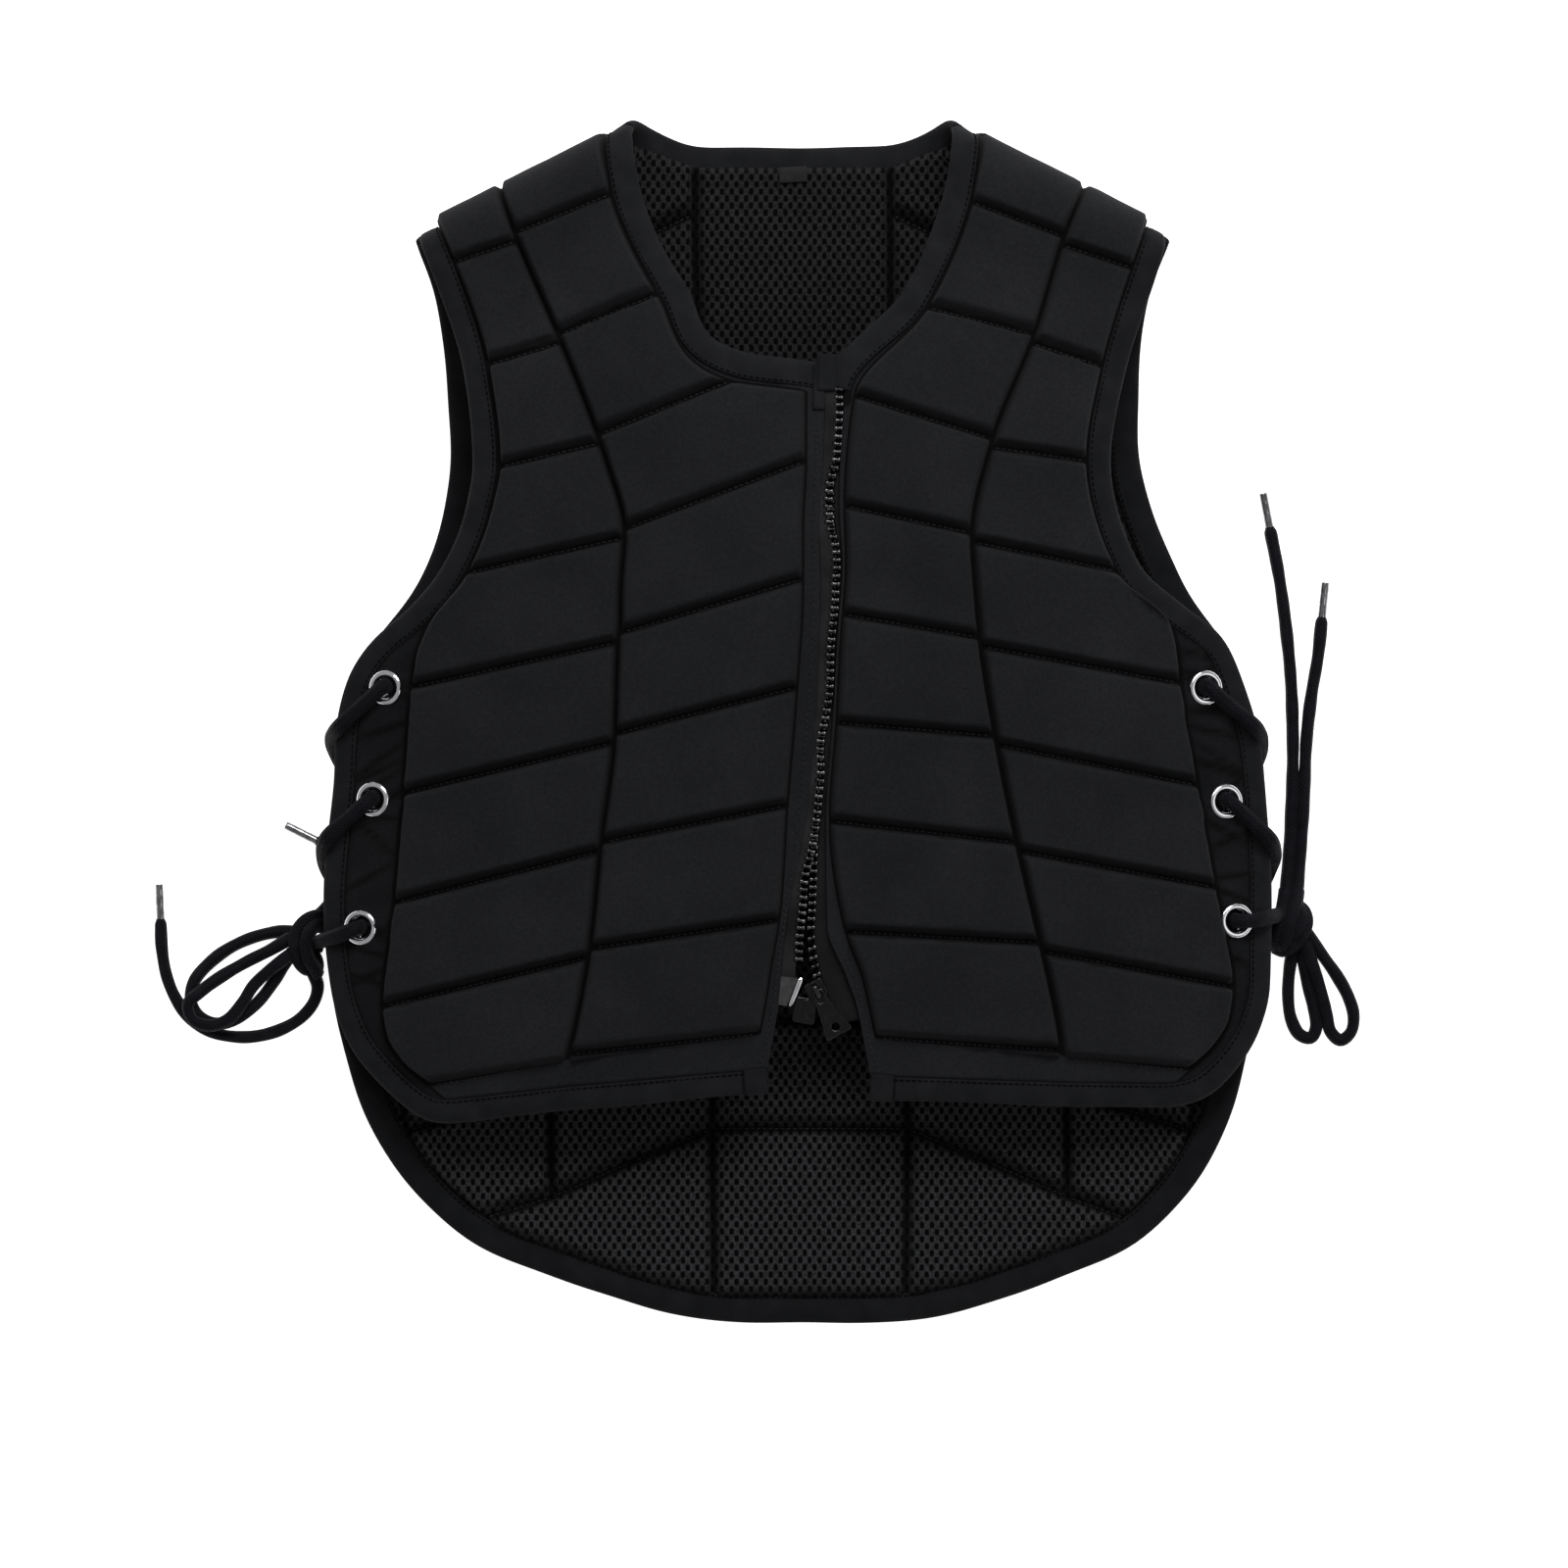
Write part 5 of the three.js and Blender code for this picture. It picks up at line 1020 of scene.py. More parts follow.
def folded_tape(name, run, width, seed, tucked, dark):
    """Tape folded over an edge: flat on both faces, round at the fold, uneven by hand sewing, with one end
    tucked double."""
    line, along, out, away = run
    w, h, inner = width, TAPE_HALF_THICK, -TAPE_OVERLAP
    half = [(inner - 0.1, h - 1.2), (inner, h - 0.35), (inner + 0.5, h - 0.02), (inner + 1.3, h - 0.22),
            (0.6, h + 0.12), (w * 0.5, h + 0.2), (w - 2.6, h), (w - 1.2, h - 0.6), (w - 0.35, h - 1.4),
            (w, 0.35)]
    section = np.array(half + [(a, -b) for a, b in reversed(half)])
    chance = np.random.default_rng(seed)
    way = way_along(line)
    wander = hand_waver(chance, way, *TAPE_WANDER)
    puff = hand_waver(chance, way, *TAPE_PUFF)
    sections = np.repeat(section[None], len(line), axis=0)
    sections[..., 0] += wander[:, None] * (section[:, 0] > 0.5)
    sections[..., 1] *= (1 + puff)[:, None]
    if tucked:
        from_end = way if tucked == "start" else way[-1] - way
        double = np.clip((TUCK_LENGTH + TUCK_RAMP / 2 - from_end) / TUCK_RAMP, 0, 1)
        crease = np.exp(-((from_end - TUCK_LENGTH - TUCK_CREASE_PAST) / TUCK_CREASE_WIDTH) ** 2)
        sections[..., 1] *= (1 + TUCK_THICKER * double - TUCK_CREASE * crease)[:, None]
        sections[..., 0] += TUCK_WIDER * double[:, None] * np.sign(section[:, 0])
    points, faces, uv = swept(line, away, out, sections)
    points[:, 2] = np.maximum(points[:, 2], LEAST_HEIGHT)
    piece = make_piece(name, in_frame(points), faces, binding_tape, uv * MM)
    # Each tape is darkened evenly by dark, and the tucked end gets painted shade across its fold.
    shade = np.full(len(points), dark, np.float32)
    if tucked:
        k = np.argmin(np.abs(from_end - TUCK_LENGTH))
        offset = points - line[k]
        beside = np.linalg.norm(offset, axis=1) < TUCK_SHADE_REACH
        shade += beside * np.clip(1 - np.abs(offset @ along[k]) / TUCK_SHADE_WIDTH, 0, 1)
    piece.data.attributes.new("painted_shade_and_darkening", "FLOAT", "POINT").data.foreach_set("value", np.clip(shade, 0, 1))
    return piece


rows_down = np.arange(0, QUILT_ROWS + 0.01, 0.05)


def hem_places(quilt, order):
    return [quilt.lines[k](np.array([QUILT_ROWS]))[0] for k in order]


left, right = front_quilts["left"], front_quilts["right"]
left_edge = [*left.lines[0](rows_down), *hem_places(left, range(1, 5))]
right_edge = [*hem_places(right, range(4, 0, -1)), *right.lines[0](rows_down[::-1])]
back_edge = [*back_lines[9](rows_down), *hem_places(back_quilt, range(8, 0, -1)),
             *back_lines[0](rows_down[::-1])]
neck_left = left.lines[4](np.linspace(LEFT_NECK_ROW, 0, 80))
neck_right = right.lines[4](np.linspace(0, RIGHT_NECK_ROW, 80))
neck_curve = smoothed(even_steps(np.array(neck_rim) - [(0, 0), (5, 1.6), (-5, 1.6), (0, 0)], 2.0), 50)
binding_runs = {
    "front_left_binding": (edge_run([(left_edge, front_middle, 1)], 1.2, 24), FRONT_BINDING, "end", 0.15),
    "front_right_binding": (edge_run([(right_edge, front_middle, 1)], 1.2, 24), FRONT_BINDING, "start", 0.15),
    "back_binding": (edge_run([(back_edge, back_middle, -1)], passes=50), BACK_BINDING, None, 0.3),
    "neck_binding": (edge_run([(neck_left, front_middle, 1), (neck_curve, back_middle, -1),
                               (neck_right, front_middle, 1)], 1.6, 3), NECK_BINDING, None, 0),
}
neck_line = binding_runs["neck_binding"][0][0]
for peak in NECK_PEAKS_X:
    beside = np.exp(-((neck_line[:, 0] - peak) / NECK_PEAK_HALF_WIDTH) ** 2)
    near_top = np.clip((neck_line[:, 1] - NECK_PEAK_FROM_Y) / NECK_PEAK_BLEND, 0, 1)
    neck_line[:, 1] += NECK_PEAK_HEIGHT * beside * near_top
for seed, (cad_node, (run, width, tucked, dark)) in enumerate(binding_runs.items()):
    put_on(folded_tape("folded_" + cad_node, run, width, 50 + seed, tucked, dark), "vest", "cloth", cad_node)


# Thread: black polyester lockstitch, sunk in every quilting groove and along the inner edge of each binding,
# with one short stitch showing about every 3 mm, waxed and brighter in the grooves than on the bindings,
# where it is painted darker as painted shade along the binding's edge.
STITCH_PITCH, STITCH_LENGTH, STITCH_RADIUS = 0.0031, 0.0023, 0.00042
STITCH_SIDES = 6
STITCH_PROUD = 0.1
BINDING_SEAM_IN = 1.2


def sewing_thread(name, gloss, low, high):
    thread = Finish(name, 0.7, Specular_IOR_Level=gloss)
    thread.drive("Base Color", thread.patches(0.003, grey(low, 1.1), grey(high, 1.1)))
    return thread


quilting_thread = sewing_thread("waxed_quilting_thread", 0.25, 0.004, 0.012)
# The binding thread is painted darker, as painted shade along the bindings' inner edges.
shade_painted_binding_thread = sewing_thread("binding_thread_painted_shade", 0.03, 0.0015, 0.004)


def stitches_along(line, out):
    """Stitches laid end to end on a line in the frame, each a short thread that dives in at both ends."""
    both = even_steps(np.hstack([line, out * 1e-3]), STITCH_PITCH)
    line, out = both[:, :3], unit(both[:, 3:])
    if len(line) < 3:
        return np.zeros((0, 3)), np.zeros((0, 4), int)
    along = headings(line)
    across = unit(np.cross(along, out))
    line, along, across, out = (v[1:-1, None] for v in (line, along, across, out))
    turn = np.linspace(0, 2 * math.pi, STITCH_SIDES, endpoint=False)
    half, r = STITCH_LENGTH / 2, STITCH_RADIUS
    rings = [(-half, 0.45 * r, -0.9 * r), (-0.62 * half, r, 0), (0.62 * half, r, 0),
             (half, 0.45 * r, -0.9 * r)]
    points = np.stack([line + along * step + across * (np.cos(turn) * wide)[None, :, None]
                       + out * (np.sin(turn) * wide + lift)[None, :, None] for step, wide, lift in rings], 1)
    k = np.arange(STITCH_SIDES)
    ahead = (k + 1) % STITCH_SIDES
    ring_faces = np.stack([k, ahead, ahead + STITCH_SIDES, k + STITCH_SIDES], -1)
    one = np.concatenate([ring_faces + STITCH_SIDES * i for i in range(len(rings) - 1)])
    first = np.arange(len(line))[:, None, None] * STITCH_SIDES * len(rings)
    return points.reshape(-1, 3), (first + one).reshape(-1, 4)


def sewn(name, runs, thread):
    """All the stitches of one piece of sewing, in one mesh."""
    points, faces = assembled(stitches_along(line, out) for line, out in runs)
    put_on(make_piece(name, points, faces, thread), "vest", "tape")


def groove_runs(quilt, side, spans):
    """Lines of stitching along a quilt's horizontal grooves."""
    for span in spans:
        for row in range(1, QUILT_ROWS):
            if row in quilt.pads[span]["open_rows"]:
                continue
            start, end = quilt.seam_run(span, row)
            way = np.linspace(0.02, 0.98, 40)[:, None]
            yield quilt.on_face(start + (end - start) * way, side, -STITCH_PROUD)


for side, quilt in front_quilts.items():
    sewn(f"quilting_stitches_{side}", groove_runs(quilt, 1, (1, 2)), quilting_thread)
sewn("quilting_stitches_back", groove_runs(back_quilt, -1, range(1, 8)), quilting_thread)

for cad_node, ((line, along, out, away), *_) in binding_runs.items():
    seam = line + away * (BINDING_SEAM_IN - TAPE_OVERLAP)
    faces_sewn = [(in_frame(seam + out * face * TAPE_HALF_THICK), out * face) for face in (1, -1)]
    sewn("stitches_of_" + cad_node, faces_sewn, shade_painted_binding_thread)


# Zip: a moulded separating zip, undone. Its woven tapes are sewn behind the two centre edges, the left one
# standing up past the neck, and the left row of teeth wavers where the tape has been sewn unevenly.
LEFT_REACH = [(3, 4.2), (3.6, 5.6), (4, 4.75), (4.26, 2.2), (4.43, 2.7), (4.6, 4.05), (4.77, 6.35),
              (4.92, 6.6), (5, 6), (5.24, 5.5), (5.45, 4.6), (5.7, 4), (6, 4.4), (6.25, 3.1), (6.5, 1.3),
              (6.75, 3), (7, 3.15), (7.17, 3.5), (7.43, 3.7), (7.6, 3), (7.86, 4.7), (8, 5.15), (8.2, 5.6),
              (8.47, 6.9), (9, 6.9)]
RIGHT_REACH = [(3, 3.4), (5, 3.4), (6, 4), (7, 4.5), (8, 7), (8.4, 12.9), (9, 12.9)]
LEFT_LEVEL, RIGHT_LEVEL = 1.2, -2.3
LEFT_TUCK, RIGHT_TUCK = -0.6, -0.9
LEFT_TAPE_ROWS, RIGHT_TAPE_ROWS = (3.25, 8.75), (3.0, 8.85)
LEFT_TEETH_ROWS, RIGHT_TEETH_ROWS = (3.3, 8.35), (3.3, 8.3)
TAPE_TAB, TAPE_TAB_STEPS = 13, 10
ZIP_TAPE_STEP, ZIP_TAPE_HALF = 1.2, 0.4
TOOTH_PITCH, TOOTH_SIDES, TOOTH_SQUARENESS, TOOTH_SWAY = 4.0, 10, 0.55, 0.06
TOOTH_RINGS = [(-1.6, 0.5, 0.6), (-1.3, 1.05, 1.2), (0.2, 1.1, 1.3), (0.8, 0.72, 1.05), (1.7, 0.72, 1.0),
               (2.3, 1.15, 1.15), (3.1, 1.15, 1.1), (3.6, 0.7, 0.7)]
NECK_EDGE_Y = 172


def zip_weave(name, low, high):
    weave = Finish(name, 0.55, Specular_IOR_Level=0.1, Sheen_Weight=0.03)
    weave.drive("Base Color", weave.patches(0.022, grey(low, 1.08), grey(high, 1.08)))
    twill = weave.number("MULTIPLY", thread_wave(weave, "X", 0.0009), thread_wave(weave, "Y", 0.0006))
    weave.relief(twill, 0.35, 0.0002)
    return weave


# One black tape in two copies: the left painted lighter in patches, as painted sheen where it tilts to the
# light; the right painted darker, as painted shade where it lies under the left.
sheen_painted_zip_tape = zip_weave("zip_tape_painted_sheen", 0.002, 0.016)
shade_painted_zip_tape = zip_weave("zip_tape_painted_shade", 0.0018, 0.0065)
tooth_black = Finish("black_zip_teeth", 0.22, Metallic=1.0)
tooth_black.drive("Base Color", tooth_black.patches(0.006, (0.02, 0.02, 0.021), (0.12, 0.12, 0.124)))


def centre_edge(quilt, reaches, top, foot, spacing=ZIP_TAPE_STEP):
    """Line along a front's centre edge with its directions, and how far the tape reaches past it, in mm."""
    rows = np.linspace(top, foot, 300)
    places, inside = quilt.lines[4](rows), quilt.lines[3](rows)
    line = front_middle(places[:, 0], places[:, 1])
    reach = smooth_through(*zip(*reaches), rows)
    side = np.column_stack([places - inside, np.zeros(len(rows))])
    both = even_steps(np.hstack([line, side * 1e-3, reach * 1e-3]), spacing)
    line, reach = smoothed(both[:, :3], 8), smoothed(both[:, 6] * 1e3, 4)
    out = outward(front_middle, line[:, 0], line[:, 1], 1)
    along = headings(line)
    away = unit(np.cross(along, out))
    away *= np.sign(np.sum(away * both[:, 3:6], axis=1, keepdims=True))
    return line, along, out, away, reach


def zip_tape(name, cad_node, run, tuck, level, tab, finish):
    """A woven tape tucked behind a centre edge, rippling more as it reaches out, with a tab at the neck."""
    line, along, out, away, reach = run
    if tab:
        rise = np.array([0, 1, 0]) * np.linspace(tab, ZIP_TAPE_STEP, TAPE_TAB_STEPS)[:, None]
        line = np.vstack([line[0] + rise, line])
        out, away = (np.vstack([np.repeat(v[:1], TAPE_TAB_STEPS, axis=0), v]) for v in (out, away))
        reach = np.concatenate([np.repeat(reach[:1], TAPE_TAB_STEPS), reach])
    share = np.linspace(0, 1, 9)
    side = tuck + (reach[:, None] - tuck) * share
    way = np.arange(len(line))[:, None] * ZIP_TAPE_STEP
    ripple = 0.35 * np.sin(way / 13) * share**2 + 0.25 * np.sin(way / 31 + 1) * share
    over = np.stack([side, level + ZIP_TAPE_HALF + ripple], -1)
    under = np.stack([side, level - ZIP_TAPE_HALF + ripple], -1)[:, ::-1]
    points, faces, uv = swept(line, away, out, np.concatenate([over, under], axis=1))
    put_on(make_piece(name, in_frame(points), faces, finish, uv * MM), "vest", "tape", cad_node)


def zip_teeth(name, cad_node, run, level, seed):
    """Moulded teeth: each grips the tape's cord, narrows at the waist and ends in a wider rounded head."""
    line, along, out, away, reach = run
    both = np.hstack([line, along * 1e-3, out * 1e-3, away * 1e-3, reach[:, None] * 1e-3])
    both = even_steps(both, TOOTH_PITCH)
    line, reach = both[:, :3], both[:, 12] * 1e3
    along, out, away = (unit(both[:, k:k + 3]) for k in (3, 6, 9))
    turn = (np.arange(TOOTH_SIDES) + 0.5) * 2 * math.pi / TOOTH_SIDES
    square_x, square_y = (np.sign(v) * np.abs(v) ** TOOTH_SQUARENESS for v in (np.cos(turn), np.sin(turn)))
    k = np.arange(TOOTH_SIDES)
    ahead = (k + 1) % TOOTH_SIDES
    ring_faces = np.stack([k, ahead, ahead + TOOTH_SIDES, k + TOOTH_SIDES], -1)
    faces = [tuple(f + TOOTH_SIDES * i) for i in range(len(TOOTH_RINGS) - 1) for f in ring_faces]
    faces += [tuple(k[::-1]), tuple(k + (len(TOOTH_RINGS) - 1) * TOOTH_SIDES)]
    chance = np.random.default_rng(seed)
    teeth = []
    for i in range(len(line)):
        lean, tip = chance.normal(0, TOOTH_SWAY, 2)
        go = unit(away[i] + along[i] * lean + out[i] * tip)
        up = unit(out[i] - go * (out[i] @ go))
        on = np.cross(up, go)
        middle = line[i] + away[i] * (reach[i] + 0.3) + out[i] * level
        rings = [middle + go * far + np.outer(square_x * wide, on) + np.outer(square_y * high, up)
                 for far, wide, high in TOOTH_RINGS]
        teeth.append((np.concatenate(rings), faces))
    points, faces = assembled(teeth)
    put_on(make_piece(name, in_frame(points), faces, tooth_black), "vest", "teeth", cad_node)


left_tape = centre_edge(left, LEFT_REACH, *LEFT_TAPE_ROWS)
right_tape = centre_edge(right, RIGHT_REACH, *RIGHT_TAPE_ROWS)
zip_tape("woven_zip_tape_left", "zip_tape_left", left_tape, LEFT_TUCK, LEFT_LEVEL, TAPE_TAB, sheen_painted_zip_tape)
zip_tape("woven_zip_tape_right", "zip_tape_right", right_tape, RIGHT_TUCK, RIGHT_LEVEL, 0, shade_painted_zip_tape)
left_row = centre_edge(left, LEFT_REACH, *LEFT_TEETH_ROWS)
right_row = centre_edge(right, RIGHT_REACH, *RIGHT_TEETH_ROWS)
zip_teeth("moulded_teeth_left", "zip_teeth_left", left_row, LEFT_LEVEL, 61)
zip_teeth("moulded_teeth_right", "zip_teeth_right", right_row, RIGHT_LEVEL, 67)


def rounded(corners, radius, steps=5):
    """A closed outline with each corner rounded off."""
    corners = np.array(corners, float)
    outline = []
    for before, here, after in zip(np.roll(corners, 1, axis=0), corners, np.roll(corners, -1, axis=0)):
        back, ahead = before - here, after - here
        cut = min(radius, np.linalg.norm(back) * 0.48, np.linalg.norm(ahead) * 0.48)
        start, end = here + unit(back) * cut, here + unit(ahead) * cut
        t = np.linspace(0, 1, steps)[:, None]
        outline.append((1 - t) ** 2 * start + 2 * t * (1 - t) * here + t**2 * end)
    return np.vstack(outline)


tape_folds = [("tape_end_cover", (15.6, 187.8), (15.4, 169.5), 4.7, 3.3, 0.9),
              ("placket_top", (12.0, 183.8), (11.4, 160.0), 3.2, 2.3, 0.8)]
for name, top, foot, half_wide, level, half_thick in tape_folds:
    x, y = np.linspace(top, foot, 16).T
    line = front_middle(x, np.minimum(y, NECK_EDGE_Y))
    line[:, 1] = y
    out = outward(front_middle, x, np.minimum(y, NECK_EDGE_Y), 1)
    edge = rounded(oblong(half_wide, half_thick), 0.7)
    edge = even_steps(np.vstack([edge, edge[:1]]), 1.2)[:-1]
    puff = 1 + 0.12 * np.sin(np.linspace(0, 9, len(line)))
    sections = np.stack([np.broadcast_to(edge[:, 0], (len(line), len(edge))),
                         edge[:, 1] * puff[:, None] + level], -1)
    points, faces, uv = swept(line, unit(np.cross(headings(line), out)), out, sections)
    put_on(make_piece(name, in_frame(points), faces, binding_tape, uv * MM), "vest", "tape")
for side, quilt, top in (("left", left, 3.4), ("right", right, 8.2)):
    rows = np.linspace(top, 9.9, 200)
    placket = quilt.lines[4](rows) * 0.55 + quilt.lines[3](rows) * 0.45
    sewn(f"placket_stitches_{side}", [quilt.on_face(placket, 1, -STITCH_PROUD)], quilting_thread)


# Zip end: the insert pin with its stiff clear film on the left tape's foot, and on the right the box,
# the black slider with its bridge, and the flared pull that hangs from the bridge and turns there.
PIN_ROWS, PIN_STEP, PIN_LEAN, PIN_OUT = (8.53, 8.785), 0.8, (0.7, -3.6), 2.3
PIN_HALF_WIDE, PIN_HALF_THICK, PIN_TAPER = 1.5, 1.0, 0.72
FILM_TUCK, FILM_FOOT, FILM_TOP, FILM_PAST = -0.4, 0.5, 0.75, 0.6
SLIDER_PLACE, SLIDER_TURN = (10.5, -135.5), 28
SLIDER_LENGTH, SLIDER_WIDTH, SLIDER_NOSE = 11, 10, 6
SLIDER_PLATE, SLIDER_THROAT = 1.4, 2.8
BRIDGE_LENGTH, BRIDGE_WIDTH, BRIDGE_HEIGHT, BRIDGE_WINDOW, BRIDGE_CLEAR = 8, 2.2, 4, 5, 2.7
PULL_LENGTH, PULL_NECK, PULL_END, PULL_HALF, PULL_BAR = 25, 7, 15, 0.8, 0.8
PULL_WINDOW, PULL_ARM_GAP, PULL_HOLE, PULL_HOLE_FROM_END = 6, 3.4, 2, 4.8
BOX_PLACE, BOX_TURN, BOX_LENGTH, BOX_WIDTH, BOX_HALF = (4.4, -145.5), -10, 13, 11.5, 1.6
BOX_WALL_HALF, BOX_WALL_FROM, BOX_WALL_SHORT = 1.2, 1, 1.6
CRISP_FROM = 40
BARE_TILT_FROM, BARE_TILT_TO = 0.3, 0.95

polished_metal = rubbed_metal("polished_nickel", 0.66, 0.82)
black_enamel = Finish("black_enamelled_metal", 0.24, Specular_IOR_Level=0.22, Coat_Weight=0.1,
                      Coat_Roughness=0.08)
enamel = black_enamel.patches(0.004, (0.0012, 0.0012, 0.0014), (0.004, 0.004, 0.0044))
black_enamel.drive("Base Color", enamel)
black_enamel.drive("Roughness", black_enamel.ranged(black_enamel.noise(500.0, 4.0), onto=(0.1, 0.26)))
black_enamel.relief(black_enamel.noise(330.0, 2.0), 0.5, 0.0012)

clear_film = Finish("grey_zip_film", 0.3, Specular_IOR_Level=0.4)
clear_film.drive("Base Color", clear_film.patches(0.005, (0.016, 0.016, 0.017), (0.044, 0.044, 0.046)))


def pressed_plate(outlines, half, bevel):
    """Points and faces of a flat plate with eased edges, from an outline and its holes, in mm."""
    curve = bpy.data.curves.new("plate", "CURVE")
    curve.dimensions = "2D"
    curve.fill_mode = "BOTH"
    curve.extrude = half - bevel
    curve.bevel_depth = bevel
    curve.bevel_resolution = 2
    curve.offset = -bevel
    for outline in outlines:
        spline = curve.splines.new("POLY")
        spline.points.add(len(outline) - 1)
        for point, (x, y) in zip(spline.points, outline):
            point.co = (x, y, 0, 1)
        spline.use_cyclic_u = True
    made = bpy.data.objects.new("plate", curve)
    bpy.context.scene.collection.objects.link(made)
    solid = bpy.data.meshes.new_from_object(made.evaluated_get(bpy.context.evaluated_depsgraph_get()))
    points = np.array([v.co for v in solid.vertices])
    faces = [tuple(f.vertices) for f in solid.polygons]
    bpy.data.objects.remove(made)
    bpy.data.curves.remove(curve)
    bpy.data.meshes.remove(solid)
    return points, faces


def on_front(points, place, turn, level):
    """Points made flat, set down on the front: X down the zip turned by this angle, Z out of the cloth."""
    x, y = np.array([place[0]], float), np.array([place[1]], float)
    out = outward(front_middle, x, y, 1)[0]
    turn = math.radians(turn)
    down = np.array([math.sin(turn), -math.cos(turn), 0])
    down = unit(down - out * (down @ out))
    basis = np.stack([down, np.cross(out, down), out])
    return in_frame(points @ basis + front_middle(x, y)[0] + out * level)


def worn_edges(points, faces):
    """1 for the eased edges of a plate, where the enamel is rubbed to bare metal, and 0 for the rest."""
    corners = np.array([points[list(face[:3])] for face in faces])
    facing = np.cross(corners[:, 1] - corners[:, 0], corners[:, 2] - corners[:, 0])
    tilt = np.abs(facing[:, 2]) / np.maximum(np.linalg.norm(facing, axis=1), 1e-9)
    return ((tilt > BARE_TILT_FROM) & (tilt < BARE_TILT_TO)).astype(float)


def hard_piece(name, points, faces, finishes, slots=None):
    """A piece of metal or film, with its edges kept crisp under smooth shading."""
    piece = make_piece(name, points, faces, finishes, slots=slots)
    piece.data.set_sharp_from_angle(angle=math.radians(CRISP_FROM))
    return piece


line, along, out, away, reach = centre_edge(left, LEFT_REACH, *PIN_ROWS, spacing=PIN_STEP)
bar = rounded(oblong(PIN_HALF_WIDE, PIN_HALF_THICK), 0.7)
ease = np.sqrt(np.clip(1 - np.linspace(-1, 1, len(line)) ** 8, 0.15, 1))
ease *= np.linspace(1, PIN_TAPER, len(line))
past = reach + np.linspace(*PIN_LEAN, len(line))
points, faces, _ = swept(line + away * (past + PIN_OUT)[:, None], away, out,
                         bar[None] * ease[:, None, None] + (0, LEFT_LEVEL))
put_on(hard_piece("insert_pin", in_frame(points), faces, polished_metal), "vest", "silver", "zip_pin")
film = np.array([(FILM_TUCK, FILM_TOP), (FILM_TUCK, FILM_FOOT), (0, FILM_FOOT), (0, FILM_TOP)])
sheet = np.repeat(film[None], len(line), axis=0)
sheet[:, 2:, 0] = past[:, None] + FILM_PAST
points, faces, _ = swept(line, away, out, sheet + (0, LEFT_LEVEL))
put_on(hard_piece("tape_end_film", in_frame(points), faces, clear_film), "vest", "tape")

shell = pressed_plate([rounded(oblong(BOX_LENGTH / 2, BOX_WIDTH / 2), 1.4)], BOX_HALF, 0.45)
wall_from, wall_to = BOX_WALL_FROM - BOX_LENGTH / 2, BOX_LENGTH / 2 - BOX_WALL_SHORT
wall_outline = rounded([(wall_from, -BOX_WALL_HALF), (wall_to, -BOX_WALL_HALF), (wall_to, BOX_WALL_HALF),
                        (wall_from, BOX_WALL_HALF)], 0.8)
wall, wall_faces = pressed_plate([wall_outline], 0.35, 0.2)
points, faces = assembled([shell, (wall + (0, 0, BOX_HALF + 0.1), wall_faces)])
points = on_front(points, BOX_PLACE, BOX_TURN, RIGHT_LEVEL)
put_on(hard_piece("moulded_zip_box", points, faces, black_enamel), "vest", "black_metal", "zip_box")

half, wide, nose = SLIDER_LENGTH / 2, SLIDER_WIDTH / 2, SLIDER_NOSE / 2
shield = rounded([(-half, -wide), (half * 0.3, -wide), (half, -nose), (half, nose), (half * 0.3, wide),
                  (-half, wide)], 1.6)
shell, shell_faces = pressed_plate([shield], SLIDER_PLATE / 2, 0.55)
lift = (SLIDER_THROAT + SLIDER_PLATE) / 2
post, post_faces = pressed_plate([rounded([(-half, -1.5), (0, 0), (-half, 1.5)], 0.4)], lift, 0.2)
arch = [(-BRIDGE_LENGTH / 2, 0), (-BRIDGE_LENGTH / 2, BRIDGE_CLEAR), (-BRIDGE_WINDOW / 2, BRIDGE_HEIGHT),
        (BRIDGE_WINDOW / 2, BRIDGE_HEIGHT), (BRIDGE_LENGTH / 2, BRIDGE_CLEAR), (BRIDGE_LENGTH / 2, 0),
        (BRIDGE_WINDOW / 2, 0), (BRIDGE_WINDOW / 2, BRIDGE_CLEAR), (-BRIDGE_WINDOW / 2, BRIDGE_CLEAR),
        (-BRIDGE_WINDOW / 2, 0)]
bridge, bridge_faces = pressed_plate([rounded(arch, 1.0)], BRIDGE_WIDTH / 2, 0.35)
bridge = bridge[:, [0, 2, 1]] * (1, -1, 1) + (0, 0, SLIDER_THROAT / 2 + SLIDER_PLATE - 0.3)
points, faces = assembled([(shell + (0, 0, lift), shell_faces), (shell - (0, 0, lift), shell_faces),
                           (post, post_faces), (bridge, bridge_faces)])
bare = worn_edges(points, faces)
bare[-len(bridge_faces):] = 1
points = on_front(points, SLIDER_PLACE, SLIDER_TURN, RIGHT_LEVEL)
put_on(hard_piece("zip_slider_body", points, faces, [black_enamel, tooth_black], bare), "vest", "black_metal",
       "zip_slider")

HINGE_HEIGHT = SLIDER_THROAT / 2 + SLIDER_PLATE + BRIDGE_CLEAR / 2
neck, end = PULL_NECK / 2, PULL_END / 2
flare = rounded([(-PULL_BAR, -neck), (PULL_WINDOW, -neck), (PULL_LENGTH, -end), (PULL_LENGTH, end),
                 (PULL_WINDOW, neck), (-PULL_BAR, neck)], 2.0)
gap = PULL_ARM_GAP / 2
window = rounded([(PULL_BAR, -gap), (PULL_BAR, gap), (PULL_WINDOW, gap), (PULL_WINDOW, -gap)], 0.6)
turn = np.linspace(0, 2 * math.pi, 28, endpoint=False)
hole = np.stack([PULL_LENGTH - PULL_HOLE_FROM_END + PULL_HOLE * np.cos(turn), PULL_HOLE * np.sin(turn)], -1)
points, faces = pressed_plate([flare, window, hole], PULL_HALF, 0.6)
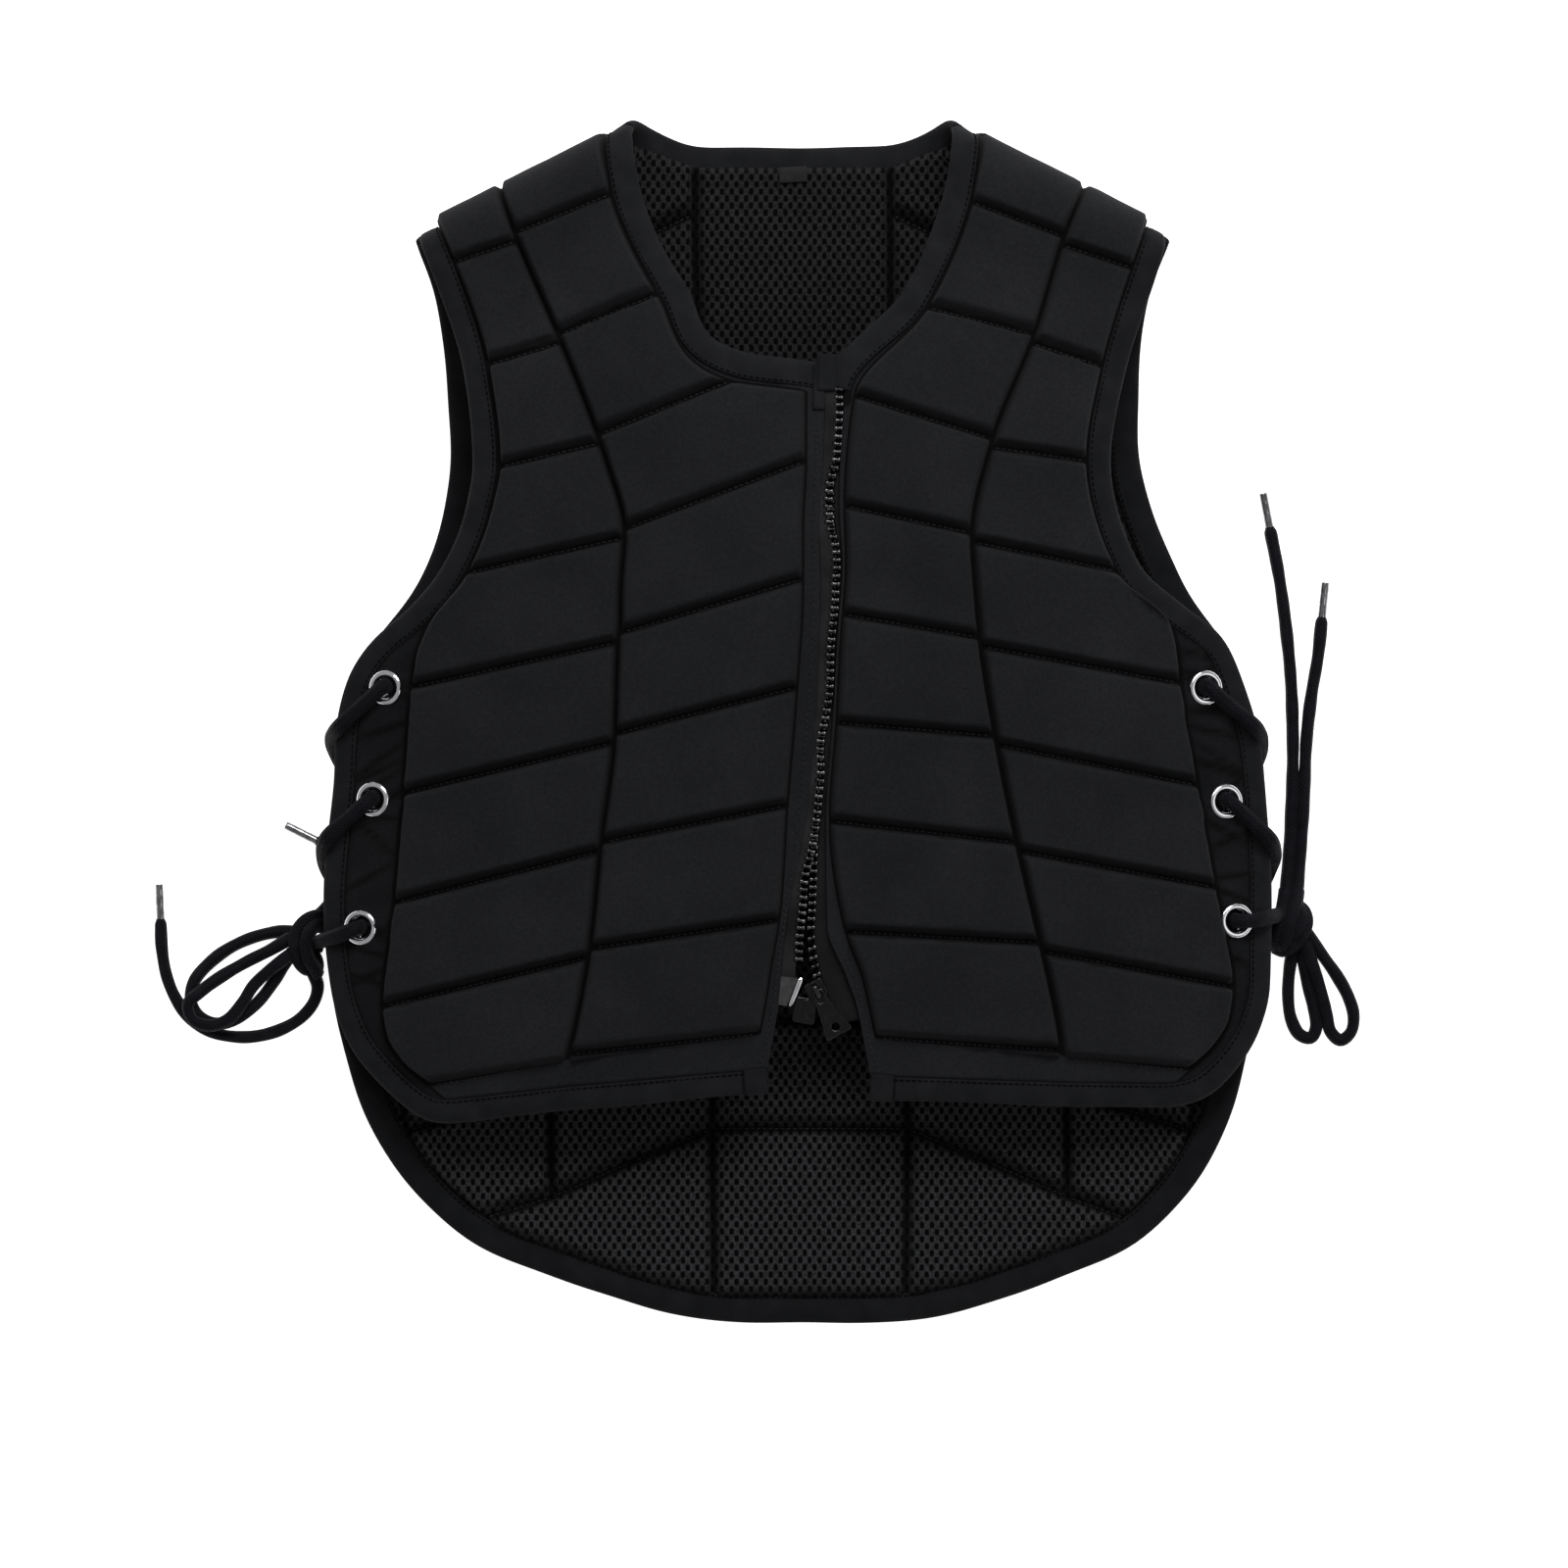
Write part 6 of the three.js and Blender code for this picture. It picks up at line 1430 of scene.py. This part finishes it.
bare = worn_edges(points, faces)
points = on_front(points + (0, 0, HINGE_HEIGHT), SLIDER_PLACE, SLIDER_TURN, RIGHT_LEVEL)
put_on(hard_piece("zip_pull_plate", points, faces, [black_enamel, tooth_black], bare), "pull", "black_metal",
       "zip_pull")


# Eyelets: polished nickel rings rolled over both faces of each side flap, three on each edge,
# so that the lace runs through cloth without tearing it.
EYELET_HOLE, EYELET_OUTER, EYELET_DOME, EYELET_BARREL = 5.4, 9.2, 3.2, 6.3
EYELET_SIDES = 48
flange = [(EYELET_OUTER, 1.35), (EYELET_OUTER - 0.08, 1.95), (8.6, 2.7), (7.8, 3.1), (7.0, EYELET_DOME),
          (6.3, 3.0), (5.7, 2.5), (EYELET_HOLE, 1.7)]
profile = flange + [(r, -z) for r, z in reversed(flange)] + [(EYELET_BARREL, -1.3), (EYELET_BARREL, 1.3)]
for where, places in EYELETS.items():
    middle = front_middle if where.startswith("front") else back_middle
    for number, (x, y) in enumerate(places, 1):
        ring, faces = turned(profile, EYELET_SIDES)
        x, y = np.array([x], float), np.array([y], float)
        ring = in_frame(set_along(ring, middle(x, y)[0], outward(middle, x, y, 1)[0]))
        eyelet = make_piece(f"rolled_eyelet_{where}_{number}", ring, faces, polished_metal)
        put_on(eyelet, "vest", "silver", f"eyelet_{where}_{number}")


# Neck tag: a bare black satin label, folded double, with both its ends
# caught in the seam of the neck binding. It lies on the lining.
TAG_X, TAG_WIDTH, TAG_COLUMNS, TAG_STEP = -1.5, 14, 20, 0.35
TAG_BOW, TAG_SLANT = 0.25, 0.05
TAG_FOLD = [(286.2, 13.5), (285.2, 15.5), (284.0, 16.7), (282.4, 17.3), (280.4, 17.6), (278.6, 17.8),
            (277.9, 17.75), (277.8, 17.5), (278.6, 17.3), (280.4, 17.1), (282.4, 16.85), (284.0, 16.2),
            (285.2, 15.0), (286.2, 13.0)]

tag_satin = Finish("black_satin_tag", 0.5, Specular_IOR_Level=0.08, Sheen_Weight=0.03)
tag_satin.drive("Base Color", tag_satin.patches(0.004, (0.005, 0.005, 0.0055), (0.010, 0.010, 0.011)))
tag_satin.relief(thread_wave(tag_satin, "Y", 0.0005), 0.25, 0.0001)

fold = laid_line([(0, y, z) for y, z in TAG_FOLD], TAG_STEP)
across = np.linspace(-TAG_WIDTH / 2, TAG_WIDTH / 2, TAG_COLUMNS)
way = np.arange(len(fold)) * TAG_STEP
across, way = np.meshgrid(across, way)
points = np.stack([TAG_X + across, fold[:, 1:2] + TAG_SLANT * across,
                   fold[:, 2:3] - TAG_BOW * (across / TAG_WIDTH) ** 2], -1)
i, j = np.meshgrid(np.arange(len(fold) - 1), np.arange(TAG_COLUMNS - 1), indexing="ij")
a = (i * TAG_COLUMNS + j).ravel()
faces = np.stack([a, a + 1, a + TAG_COLUMNS + 1, a + TAG_COLUMNS], -1)
uv = np.stack([across, way], -1).reshape(-1, 2) * MM
tag = make_piece("folded_neck_tag", in_frame(points.reshape(-1, 3)), faces, tag_satin, uv)
put_on(tag, "vest", "label", "neck_label")
way_length(fold) * MM
